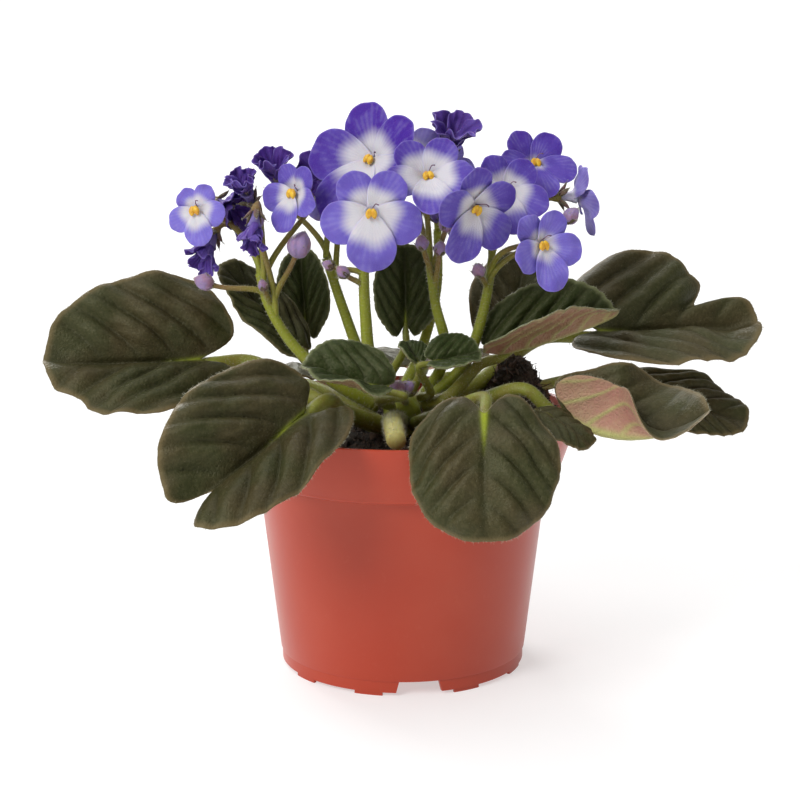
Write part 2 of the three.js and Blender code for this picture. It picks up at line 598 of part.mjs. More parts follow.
/** One petal in its bloom's frame. */
function petal(bloom, one) {
  const manner = bloom.faded ? FADED : FRESH;
  const length = 0.5 * bloom.size * one.scale * (one.upper ? bloom.upper ?? 1 : 1);
  const shape = { length, width: manner.breadth * length, ruffle: 0, ruffles: 0, phase: 0 };
  return blade(shape, { ...PETAL, rays: manner.rays }, (s, t) => bowlPoint(bloom, manner, one, s, t));
}

function bloomSolid(bloom) {
  const axis = new THREE.LineCurve3(vec([0, 0, -THROAT.length]), vec([0, 0, THROAT.front]));
  const radiusAt = (t) => THREE.MathUtils.lerp(THROAT.rearRadius, THROAT.frontRadius, t);
  const tube = stem(axis, 1, THROAT.sides, radiusAt);
  const pieces = [tube, ...PETALS.map((one) => petal(bloom, one))];
  return outerBody(fuse(pieces.map((piece) => piece.applyMatrix4(bloomPlace(bloom)))));
}

/** The pair of plump pollen sacs just in front of the throat. */
function antherSolid(bloom) {
  const sacs = [-1, 1].map((side) => {
    const sac = new THREE.SphereGeometry(1, ANTHER.segments, ANTHER.segments - 1);
    sac.scale(ANTHER.width / 2, ANTHER.length / 2, ANTHER.depth / 2).rotateZ(side * rad(ANTHER.splay));
    return sac.translate(side * ANTHER.spread / 2, 0, THROAT.front + GAP + ANTHER.depth / 2);
  });
  return fuse(sacs.map((sac) => sac.applyMatrix4(bloomPlace(bloom))));
}

// ---------------------------------------------------------------- flower stalks

/** Pedicel that leaves the stalk upwards, arrives along a given direction and may flare at its end. */
function pedicel(start, end, facing, flare) {
  const reach = PEDICEL.swing * start.distanceTo(end);
  const rise = start.clone().add(new THREE.Vector3(0, 0, reach));
  const curve = new THREE.CubicBezierCurve3(start, rise, end.clone().addScaledVector(facing, -reach), end);
  const radiusAt = (t) => (t === 1 ? flare : THREE.MathUtils.lerp(PEDICEL.root, PEDICEL.end, t));
  return stem(curve, PEDICEL.steps, PEDICEL.sides, radiusAt);
}

/** Plump pointed bud, with its base at the end of its pedicel. */
function bud(base, facing, length) {
  const body = new THREE.SphereGeometry(0.5 * length, BUD.segments, BUD.segments - 2);
  body.scale(BUD.breadth, 1, BUD.breadth);
  const turn = new THREE.Quaternion().setFromUnitVectors(new THREE.Vector3(0, 1, 0), facing);
  const middle = base.clone().addScaledVector(facing, BUD.seat * length);
  return body.applyQuaternion(turn).translate(middle.x, middle.y, middle.z);
}

function stalkCurve(stalk) {
  return new THREE.CatmullRomCurve3(stalk.path.map(vec));
}

function stalkStem(stalk, extra = 0) {
  const radiusAt = (t) => extra + stalk.radius * THREE.MathUtils.lerp(1, STALK.end, t);
  return stem(stalkCurve(stalk), STALK.steps, STALK.sides, radiusAt);
}

function stalkSolid(stalk) {
  const curve = stalkCurve(stalk);
  const pieces = [stalkStem(stalk)];
  const count = stalk.blooms.length + stalk.buds.length;
  const fork = (i) => curve.getPointAt(1 - (STALK.forks * i) / count);
  stalk.blooms.forEach((bloom, i) => {
    const facing = new THREE.Vector3().setFromMatrixColumn(bloomPlace(bloom), 2);
    const end = vec(bloom.at).addScaledVector(facing, -THROAT.length - GAP);
    pieces.push(pedicel(fork(i), end, facing, CALYX.radius));
  });
  stalk.buds.forEach((one, i) => {
    const start = fork(stalk.blooms.length + i);
    const facing = vec(one.at).sub(start).normalize();
    const end = vec(one.at).addScaledVector(facing, -one.size);
    pieces.push(pedicel(start, end, facing, PEDICEL.end), bud(end, facing, one.size));
  });
  return fuse(pieces);
}

// ---------------------------------------------------------------- the plant in its pot

const plant = new THREE.Group();

const socket = turned(
  [
    [0, CROWN.bottom - GAP],
    [CROWN.radius + GAP, CROWN.bottom - GAP],
    [CROWN.radius + GAP, CROWN.top],
    [0, CROWN.top],
  ],
  CROWN.sides,
);
const bores = [
  socket,
  ...LEAVES.map((leaf) => leafStem(leaf, GAP)),
  ...STALKS.map((stalk) => stalkStem(stalk, GAP)),
];
const mix = bores.reduce((rest, bore) => rest.subtract(solidOf(bore)), mixSolid());

plant.add(meshOf("pot", potSolid(), "pot"));
plant.add(meshOf("potting_mix", outerBody(mix), "mix"));
plant.add(meshOf("crown", crownSolid(), "crown"));
for (const leaf of LEAVES) plant.add(meshOf(leaf.name, outerBody(leafSolid(leaf)), "leaf"));
let number = 0;
for (const stalk of STALKS) {
  plant.add(meshOf(stalk.name, outerBody(stalkSolid(stalk)), "stalk"));
  for (const bloom of stalk.blooms) {
    number += 1;
    const label = String(number).padStart(2, "0");
    plant.add(meshOf(`bloom_${label}`, bloomSolid(bloom), "petal"));
    if (!bloom.faded) plant.add(meshOf(`anthers_${label}`, antherSolid(bloom), "anther"));
  }
}

export default plant;
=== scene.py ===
"""A potted African violet in flower, dressed round its fixed frame.

Metres, +Z up, -Y towards the viewer. Plant shapes are worked out in millimetres and scaled when a mesh
is made. Leaves, petals, stems and the pot stand where the frame has them, in finer form.
"""

import logging
import math
from dataclasses import dataclass, field
from enum import Enum
from typing import Callable, Iterable, Sequence

import bpy
import numpy as np
from mathutils import Euler, Matrix, Vector


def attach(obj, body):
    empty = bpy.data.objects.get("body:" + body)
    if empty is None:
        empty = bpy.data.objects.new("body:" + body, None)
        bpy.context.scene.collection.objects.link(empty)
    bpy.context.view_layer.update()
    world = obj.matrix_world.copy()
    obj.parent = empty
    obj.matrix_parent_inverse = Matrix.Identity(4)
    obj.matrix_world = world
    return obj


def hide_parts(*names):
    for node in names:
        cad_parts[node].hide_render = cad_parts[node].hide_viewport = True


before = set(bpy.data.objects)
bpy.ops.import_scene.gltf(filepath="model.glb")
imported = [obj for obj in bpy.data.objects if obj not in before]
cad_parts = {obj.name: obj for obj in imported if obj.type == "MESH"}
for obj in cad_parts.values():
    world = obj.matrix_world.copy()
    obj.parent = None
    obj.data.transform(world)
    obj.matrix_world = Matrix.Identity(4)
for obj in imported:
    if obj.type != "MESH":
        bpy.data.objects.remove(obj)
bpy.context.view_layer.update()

MM = 0.001
BODY = "root"
LOG = logging.getLogger("violet")

Colour = tuple[float, float, float]
Point = tuple[float, float, float]
Array = np.ndarray
Draws = np.random.Generator
Paint = bpy.types.Material
Socket = bpy.types.NodeSocket
Value = float | Colour | Socket
Inputs = dict[str | int, Value]


# ---------------------------------------------------------------- numbers


def smoothstep(x: Array, low: float, high: float) -> Array:
    """Eased step from 0 at low to 1 at high."""
    share = np.clip((np.asarray(x, float) - low) / (high - low), 0, 1)
    return share * share * (3 - 2 * share)


def lerp(a: float, b: float, share: Array) -> Array:
    """Value a given share of the way from a to b."""
    return a + (b - a) * np.asarray(share, float)


def sinc(x: Array) -> Array:
    """Sine of x over x."""
    return np.sinc(np.asarray(x, float) / np.pi)


def bump(x: Array, width: float | Array) -> Array:
    """Bell curve of height 1 and the given half width."""
    return np.exp(-((np.asarray(x, float) / width) ** 2))


def unit(vectors: Array) -> Array:
    """Vectors scaled to length 1, along the last axis."""
    length = np.linalg.norm(vectors, axis=-1, keepdims=True)
    return vectors / np.maximum(length, 1e-9)


def place(matrix: Array, points: Array) -> Array:
    """Points moved by a 4 by 4 matrix."""
    return points @ matrix[:3, :3].T + matrix[:3, 3]


def circle(steps: int) -> Array:
    """Angles in equal steps round a circle, in radians."""
    return np.linspace(0, 2 * np.pi, steps, endpoint=False)


def ripple(points: Array, scale: float, draw: Draws, waves: int = 6) -> Array:
    """Smooth random height between about -1 and 1 at each point.

    Args:
        points: Rows of coordinates in millimetres.
        scale: Rough length of a wave in millimetres.
        draw: Source of random numbers.
        waves: How many sine waves are added up.

    Returns:
        One height for each point.
    """
    total = np.zeros(len(points))
    for _ in range(waves):
        heading = unit(draw.normal(size=points.shape[1])) * 2 * np.pi / (scale * draw.uniform(0.6, 1.5))
        total += np.sin(points @ heading + draw.uniform(0, 2 * np.pi))
    return total / math.sqrt(waves)


# ---------------------------------------------------------------- curves


class Course:
    """A smooth path, walked in equal steps of length."""

    def __init__(self, points: Array) -> None:
        """Measures a path.

        Args:
            points: Closely set points in millimetres.
        """
        self.points = points
        self.reach = np.concatenate([[0], np.cumsum(np.linalg.norm(np.diff(points, axis=0), axis=1))])
        self.length = float(self.reach[-1])

    @classmethod
    def through(cls, points: Sequence[Point | Array], samples: int = 60) -> "Course":
        """Curve through points.

        Args:
            points: The points.
            samples: Steps between each two of them.

        Returns:
            The curve.
        """
        knots = np.array(points, float)
        knots = np.vstack([2 * knots[0] - knots[1], knots, 2 * knots[-1] - knots[-2]])
        gaps = np.maximum(np.linalg.norm(np.diff(knots, axis=0), axis=1) ** 0.5, 1e-4)
        pieces = []
        weights = np.linspace(0, 1, samples, endpoint=False)[:, None]
        for i in range(len(knots) - 3):
            p0, p1, p2, p3 = knots[i : i + 4]
            d0, d1, d2 = gaps[i : i + 3]
            leave = ((p1 - p0) / d0 - (p2 - p0) / (d0 + d1) + (p2 - p1) / d1) * d1
            arrive = ((p2 - p1) / d1 - (p3 - p1) / (d1 + d2) + (p3 - p2) / d2) * d1
            square = -3 * p1 + 3 * p2 - 2 * leave - arrive
            cube = 2 * p1 - 2 * p2 + leave + arrive
            pieces.append(p1 + weights * (leave + weights * (square + weights * cube)))
        return cls(np.vstack([*pieces, knots[-2:-1]]))

    @classmethod
    def swung(cls, start: Array, lift: Array, lead: Array, end: Array) -> "Course":
        """Cubic curve between two ends, drawn out by two handles.

        Args:
            start: Where it starts.
            lift: Handle of its start.
            lead: Handle of its end.
            end: Where it ends.

        Returns:
            The curve.
        """
        t = np.linspace(0, 1, 80)[:, None]
        u = 1 - t
        return cls(u**3 * start + 3 * u * u * t * lift + 3 * u * t * t * lead + t**3 * end)

    def at(self, shares: Array) -> Array:
        """Points at given shares of the length."""
        where = np.asarray(shares, float) * self.length
        return np.stack([np.interp(where, self.reach, self.points[:, k]) for k in range(3)], axis=-1)

    def frames(self, shares: Array) -> tuple[Array, Array, Array]:
        """Points on the curve, with two directions square to it that don't twist.

        Args:
            shares: Shares of the length, in order.

        Returns:
            The points, and the two directions at each.
        """
        points = self.at(shares)
        ahead = unit(self.at(np.minimum(shares + 0.004, 1)) - self.at(np.maximum(shares - 0.004, 0)))
        side = np.zeros_like(ahead)
        first = np.cross(ahead[0], [0.0, 0.0, 1.0])
        if np.linalg.norm(first) < 0.1:
            first = np.cross(ahead[0], [0.0, 1.0, 0.0])
        side[0] = unit(first)
        for i in range(1, len(ahead)):
            side[i] = unit(side[i - 1] - ahead[i] * np.dot(side[i - 1], ahead[i]))
        return points, side, np.cross(ahead, side)


# ---------------------------------------------------------------- meshes


@dataclass
class Body:
    """Points and faces of one or more closed bodies, with measures at each point for the shaders."""

    points: Array
    faces: list[tuple[int, ...]]
    finish: list[int]
    marks: dict[str, Array] = field(default_factory=dict)

    def moved(self, matrix: Array) -> "Body":
        """The same body moved by a 4 by 4 matrix."""
        return Body(place(matrix, self.points), self.faces, self.finish, self.marks)

    def normals(self) -> Array:
        """Rough outward direction at each point, from the faces round it.

        Returns:
            Directions of length 1.
        """
        total = np.zeros_like(self.points)
        corners = np.array([face[:3] for face in self.faces])
        a, b, c = (self.points[corners[:, k]] for k in range(3))
        square = np.cross(b - a, c - a)
        for k in range(3):
            np.add.at(total, corners[:, k], square)
        return unit(total)


def joined(bodies: Iterable[Body]) -> Body:
    """Several bodies as one.

    Args:
        bodies: The bodies.

    Returns:
        One body that holds them all.
    """
    bodies = list(bodies)
    names = sorted({name for one in bodies for name in one.marks})
    points, faces, finish, start = [], [], [], 0
    marks: dict[str, list[Array]] = {name: [] for name in names}
    for one in bodies:
        points.append(one.points)
        faces.extend(tuple(i + start for i in face) for face in one.faces)
        finish.extend(one.finish)
        for name in names:
            marks[name].append(one.marks.get(name, np.zeros(len(one.points))))
        start += len(one.points)
    return Body(np.vstack(points), faces, finish, {k: np.concatenate(v) for k, v in marks.items()})


def piece(name: str, body: Body, paints: Sequence[Paint], slot: str, *nodes: str) -> bpy.types.Object:
    """Makes one piece of the scene from a body in millimetres.

    Args:
        name: Name of the piece.
        body: Its points and faces.
        paints: Its materials, in the order that the faces count them.
        slot: A slot's name, which is not used.
        nodes: The frame's nodes that it stands for.

    Returns:
        The new object.
    """
    mesh = bpy.data.meshes.new(name)
    mesh.from_pydata((body.points * MM).tolist(), [], body.faces)
    for paint in paints:
        mesh.materials.append(paint)
    mesh.polygons.foreach_set("material_index", body.finish)
    mesh.polygons.foreach_set("use_smooth", [True] * len(mesh.polygons))
    for mark, values in body.marks.items():
        layer = mesh.attributes.new(mark, "FLOAT", "POINT")
        layer.data.foreach_set("value", values.astype(np.float32))
    mesh.update()
    made = bpy.data.objects.new(name, mesh)
    bpy.context.scene.collection.objects.link(made)
    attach(made, BODY)
    if nodes:
        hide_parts(*nodes)
    LOG.info("%s: %d points, %d faces", name, len(mesh.vertices), len(mesh.polygons))
    return made


def rings_body(rings: Array, finish: int = 0, marks: dict[str, Array] | None = None) -> Body:
    """Closed body through rings of points, with a point in the middle of each end.

    Args:
        rings: Points, as rings by corners by three.
        finish: Which material its faces take.
        marks: Measures at each ring's corners, as rings by corners.

    Returns:
        The body.
    """
    count, sides = rings.shape[:2]
    points = np.vstack([rings.reshape(-1, 3), rings[0].mean(0), rings[-1].mean(0)])
    first, final, last = count * sides, count * sides + 1, (count - 1) * sides
    faces: list[tuple[int, ...]] = []
    for j in range(sides):
        k = (j + 1) % sides
        faces += [(first, k, j), (final, last + j, last + k)]
        faces += [(i + j, i + k, i + sides + k, i + sides + j) for i in range(0, last, sides)]
    held = {}
    for name, values in (marks or {}).items():
        held[name] = np.concatenate([values.ravel(), [values[0].mean(), values[-1].mean()]])
    return Body(points, faces, [finish] * len(faces), held)


def turned(rows: Sequence[tuple[float, float]], sides: int) -> Array:
    """Rings of points round +Z, through rows of a radius and a height."""
    return np.array([[(r * math.cos(a), r * math.sin(a), z) for a in circle(sides)] for r, z in rows])


def tube(course: Course, radius: Callable[[Array], Array], steps: int, sides: int, finish: int = 0,
         ridges: int = 0, ridge: float = 0.0) -> Body:
    """Round stem along a curve.

    Args:
        course: The curve.
        radius: Radius in millimetres at given shares of its length.
        steps: Rings along it, less one.
        sides: Corners of each ring.
        finish: Which material its faces take.
        ridges: How many shallow ridges run along it.
        ridge: Height of the ridges, as a share of the radius.

    Returns:
        The stem, with its share of the length marked as "along".
    """
    shares = np.linspace(0, 1, steps + 1)
    points, side, over = course.frames(shares)
    angles = circle(sides)
    wide = radius(shares)[:, None] * (1 + ridge * np.cos(ridges * angles))
    outward = np.cos(angles)[:, None] * side[:, None, :] + np.sin(angles)[:, None] * over[:, None, :]
    rings = points[:, None, :] + wide[..., None] * outward
    return rings_body(rings, finish, {"along": np.repeat(shares[:, None], sides, axis=1)})


def lump(radius: Callable[[Array, Array], Array], length: float, steps: int, sides: int,
         finish: int = 0, lean: float = 0.0) -> Body:
    """Closed body turned round +Z, from its base at the origin to its tip.

    Args:
        radius: Radius at shares of the length and at angles.
        length: Its height in millimetres.
        steps: Rings along it, less one.
        sides: Corners of each ring.
        finish: Which material its faces take.
        lean: How far its tip leans towards +X, in millimetres.

    Returns:
        The body, with its share of the length marked as "along".
    """
    shares = (1 - np.cos(np.linspace(0, np.pi, steps + 1))) / 2
    u, a = np.meshgrid(shares, circle(sides), indexing="ij")
    wide = np.maximum(radius(u, a), 0.01)
    rings = np.stack([wide * np.cos(a) + lean * u**2, wide * np.sin(a), length * u], axis=-1)
    return rings_body(rings, finish, {"along": u})


def facing(origin: Array, ahead: Array, turn: float = 0.0) -> Array:
    """Matrix that takes +Z to a direction.

    Args:
        origin: Where the origin goes.
        ahead: The direction, of any length.
        turn: Angle round it in radians.

    Returns:
        The 4 by 4 matrix.
    """
    quaternion = Vector(ahead).to_track_quat("Z", "Y")
    matrix = Matrix.Translation(Vector(origin)) @ quaternion.to_matrix().to_4x4()
    return np.array(matrix @ Matrix.Rotation(turn, 4, "Z"))


def hairs(roots: Array, ahead: Array, lengths: Array, width: float = 0.05) -> Body:
    """Fine tapering hairs, each a slim closed spike.

    Args:
        roots: Where they grow from.
        ahead: The way each one points, of length 1.
        lengths: Their lengths in millimetres.
        width: Thickness at the root in millimetres.

    Returns:
        All the hairs as one body.
    """
    side = unit(np.cross(ahead, [0.31, 0.62, 0.72]))
    over = np.cross(ahead, side)
    base = roots - 0.15 * ahead
    corners = [base + width * (math.cos(a) * side + math.sin(a) * over) for a in (0.0, 2.1, 4.2)]
    points = np.stack([*corners, roots + ahead * lengths[:, None]], axis=1).reshape(-1, 3)
    faces: list[tuple[int, ...]] = []
    for i in range(0, len(points), 4):
        faces += [(i, i + 2, i + 1), (i, i + 1, i + 3), (i + 1, i + 2, i + 3), (i + 2, i, i + 3)]
    return Body(points, faces, [0] * len(faces))


def coat(body: Body, count: int, length: float, draw: Draws, spread: float = 0.5,
         pick: Array | None = None) -> Body:
    """Hairs scattered over a body.

    Args:
        body: What they grow on.
        count: How many.
        length: Their mean length in millimetres.
        draw: Source of random numbers.
        spread: How far they lean away from straight out.
        pick: Which points they may grow at, or all of them.

    Returns:
        The hairs.
    """
    normals = body.normals()
    choice = np.arange(len(body.points)) if pick is None else pick
    chosen = draw.choice(choice, size=count)
    ahead = unit(normals[chosen] + spread * draw.normal(size=(count, 3)))
    tangent = np.cross(normals[chosen], draw.normal(size=(count, 3)))
    roots = body.points[chosen] + 0.5 * unit(tangent) * draw.random((count, 1))
    return hairs(roots, ahead, length * draw.uniform(0.5, 1.3, count))


@dataclass(frozen=True)
class Finishes:
    """The materials of the pot, the mix and every part of the plant."""

    pot: Paint
    soil: Paint
    bark: Paint
    leaf_upper: Paint
    leaf_under: Paint
    leaf_stem: Paint
    flower_stem: Paint
    cut_stem: Paint
    petal: Paint
    sepal: Paint
    bud: Paint
    anther: Paint
    style: Paint
    fuzz: Paint
    leaf_fuzz: Paint


# ---------------------------------------------------------------- blades


@dataclass(frozen=True)
class Grid:
    """How finely a blade is divided, and how thick it is."""

    rays: int
    rings: int
    hub: float
    thickness: float
    edge: float
    rim: float = 0.05  # share of its reach over which its margin rounds off


@dataclass
class Sheet:
    """A thin closed blade, with the places along and across it that its points came from."""

    body: Body
    s: Array
    t: Array
    ring: Array
    margin: Array  # points on the margin, on the upper face


def thin_blade(grid: Grid, length: float, outline: Callable[[Array], tuple[Array, Array]],
               surface: Callable[[Array, Array, Array], Array],
               relief: Callable[[Array, Array, Array, Array], Array]) -> Sheet:
    """Thin closed blade on a curved surface: rays from its hub, crossed by rings.

    Args:
        grid: Its divisions and thickness.
        length: Its length in millimetres.
        outline: Gives the margin's place along and across at an angle.
        surface: Gives the middle surface at places along and across, for a ring.
        relief: Gives the height of its relief at places along and across, a ring and an angle.

    Returns:
        The blade. Its upper face has material 0 and its under face material 1.
    """
    angles = np.linspace(-np.pi, np.pi, grid.rays, endpoint=False)
    inner = np.linspace(0, 1 - grid.rim, grid.rings)[1:]
    outer = 1 - grid.rim * np.array([0.6, 0.3, 0.1, 0.0])
    shares = np.concatenate([inner, outer])
    hub = grid.hub * length
    edge_s, edge_t = outline(angles)
    s = np.concatenate([[hub], (hub + np.outer(shares, edge_s - hub)).ravel()])
    t = np.concatenate([[0], np.outer(shares, edge_t).ravel()])
    ring = np.concatenate([[0], np.repeat(shares, grid.rays)])
    angle = np.concatenate([[0], np.tile(angles, len(shares))])
    step = 0.01 * length
    middle = surface(s, t, ring)
    along = surface(s + step, t, ring) - surface(s - step, t, ring)
    across = surface(s, t + step, ring) - surface(s, t - step, ring)
    normal = unit(np.cross(along, across))
    middle = middle + normal * relief(s, t, ring, angle)[:, None]
    taper = np.sqrt(np.clip(1 - (np.maximum(ring - 1 + grid.rim, 0) / grid.rim) ** 2, 0.01, 1))
    half = (0.5 * lerp(grid.thickness, grid.edge, ring**2) * taper)[:, None]
    points = np.vstack([middle + normal * half, middle - normal * half])
    under = len(s)
    faces: list[tuple[int, ...]] = []
    finish: list[int] = []
    rows = (len(shares) - 1) * grid.rays
    for j in range(grid.rays):
        k = (j + 1) % grid.rays
        faces += [(0, 1 + j, 1 + k), (under, under + 1 + k, under + 1 + j)]
        finish += [0, 1]
        for i in range(1, rows, grid.rays):
            a, b, c, d = i + j, i + grid.rays + j, i + grid.rays + k, i + k
            faces += [(a, b, c, d), (under + a, under + d, under + c, under + b)]
            finish += [0, 1]
        rim = 1 + rows
        faces.append((rim + j, under + rim + j, under + rim + k, rim + k))
        finish.append(0)
    body = Body(points, faces, finish, {"reach": np.tile(ring, 2)})
    return Sheet(body, s, t, ring, np.arange(1 + rows, under))


@dataclass(frozen=True)
class Leaf:
    """One leaf: where its stalk starts, how its blade lies, and how it is bent and waved.

    Lengths are in millimetres and angles in degrees. A bite is an angle round the blade in radians, its
    half width and its depth. Pairs such as fold are for the left and the right half.
    """

    name: str
    bearing: float
    rise: float
    base: Point
    heading: float
    pitch: float
    roll: float
    length: float
    width: float
    bend: float
    fold: tuple[float, float]
    cup: tuple[float, float]
    ruffle: float
    ruffles: int = 4
    phase: float = 0.0
    back: float = 0.17
    fold_tip: tuple[float, float] | None = None
    opens: tuple[float, float] = (0.1, 0.7)
    bites: tuple[tuple[float, float, float], ...] = ()
    young: float = 0.0  # how green it still is
    tuck: float = 0.0  # how far behind the blade its stalk arrives

    def frame(self) -> Array:
        """Frame of the blade.

        Returns:
            Matrix from the blade's own frame to its place.
        """
        turn = Euler((math.radians(self.roll), -math.radians(self.pitch), math.radians(self.heading)), "XYZ")
        matrix = turn.to_matrix().to_4x4()
        matrix.translation = Vector(self.base)
        return np.array(matrix)

    def middle(self, s: Array, t: Array) -> Array:
        """Middle surface at places along and across, in the blade's own frame.

        Args:
            s: Places along the midrib.
            t: Places to its left.

        Returns:
            Points in millimetres.
        """
        right = (t < 0).astype(int)
        droop = math.radians(self.bend) * s / (2 * self.length)
        curl = np.radians(np.array(self.cup)[right]) * np.abs(t) / self.width
        out = np.abs(t) * sinc(curl)
        tip = np.array(self.fold_tip or self.fold)[right]
        opened = smoothstep(s / self.length, *self.opens)
        rise = np.radians(lerp(np.array(self.fold)[right], tip, opened)) + curl
        lift = out * np.sin(rise)
        return np.stack([
            s * sinc(droop) * np.cos(droop) + lift * np.sin(2 * droop),
            np.sign(t) * out * np.cos(rise),
            lift * np.cos(2 * droop) - s * sinc(droop) * np.sin(droop),
        ], axis=-1)


@dataclass(frozen=True)
class LeafHabit:
    """What all the leaves of the plant share."""

    sinus: float = 0.4  # depth of the inlet at the stalk
    sinus_width: float = 0.2
    teeth: int = 34
    tooth: float = 0.006
    wobble: float = 0.012  # unevenness of the margin
    vein_pairs: float = 5.2
    vein_lean: float = 0.55
    vein_shift: float = 0.35  # how far the right half's veins lie from the left half's
    vein_width: float = 0.09
    puff: float = 0.055  # height of the quilting, as a share of the length
    cushions: float = 5.0  # how many cushions the side veins' branches make between them
    pucker: float = 0.07  # height of the small puckers on the cushions
    groove: float = 1.1  # depth of the furrow along the midrib
    groove_width: float = 1.3
    uneven: float = 0.018
    folded: tuple[float, float] = (90.0, 150.0)  # sum of the folds over which the relief flattens
    calm: float = 0.8  # how far it flattens
    large: Grid = Grid(150, 34, 0.22, 1.3, 0.8)
    small: Grid = Grid(110, 22, 0.22, 1.3, 0.8)
    small_under: float = 45.0
    stalk_root: float = 3.2
    stalk_end: float = 2.1
    stalk_tip: float = 0.9
    stalk_clear: float = 8.6  # distance of a root's middle from the plant's axis
    stalk_grid: tuple[int, int] = (48, 18)  # steps along a stalk and sides round it
    stalk_arch: float = 0.12
    leave: float = 0.3
    arrive: float = 0.22
    sink: float = 0.7
    fade: float = 0.5
    under: float = 0.1
    full_at: float = 60.0
    least: float = 0.5
    down: tuple[float, float] = (0.35, 0.1)  # short hairs for each square millimetre, above and below
    down_length: tuple[float, float] = (0.6, 0.5)
    down_lean: float = 0.8
    fringe: float = 7.0  # hairs on the margin for each millimetre of length
    stalk_hairs: tuple[float, int] = (9.0, 120)  # for each millimetre of length, and besides
    stalk_hair: tuple[float, float] = (1.0, 0.45)  # length and lean


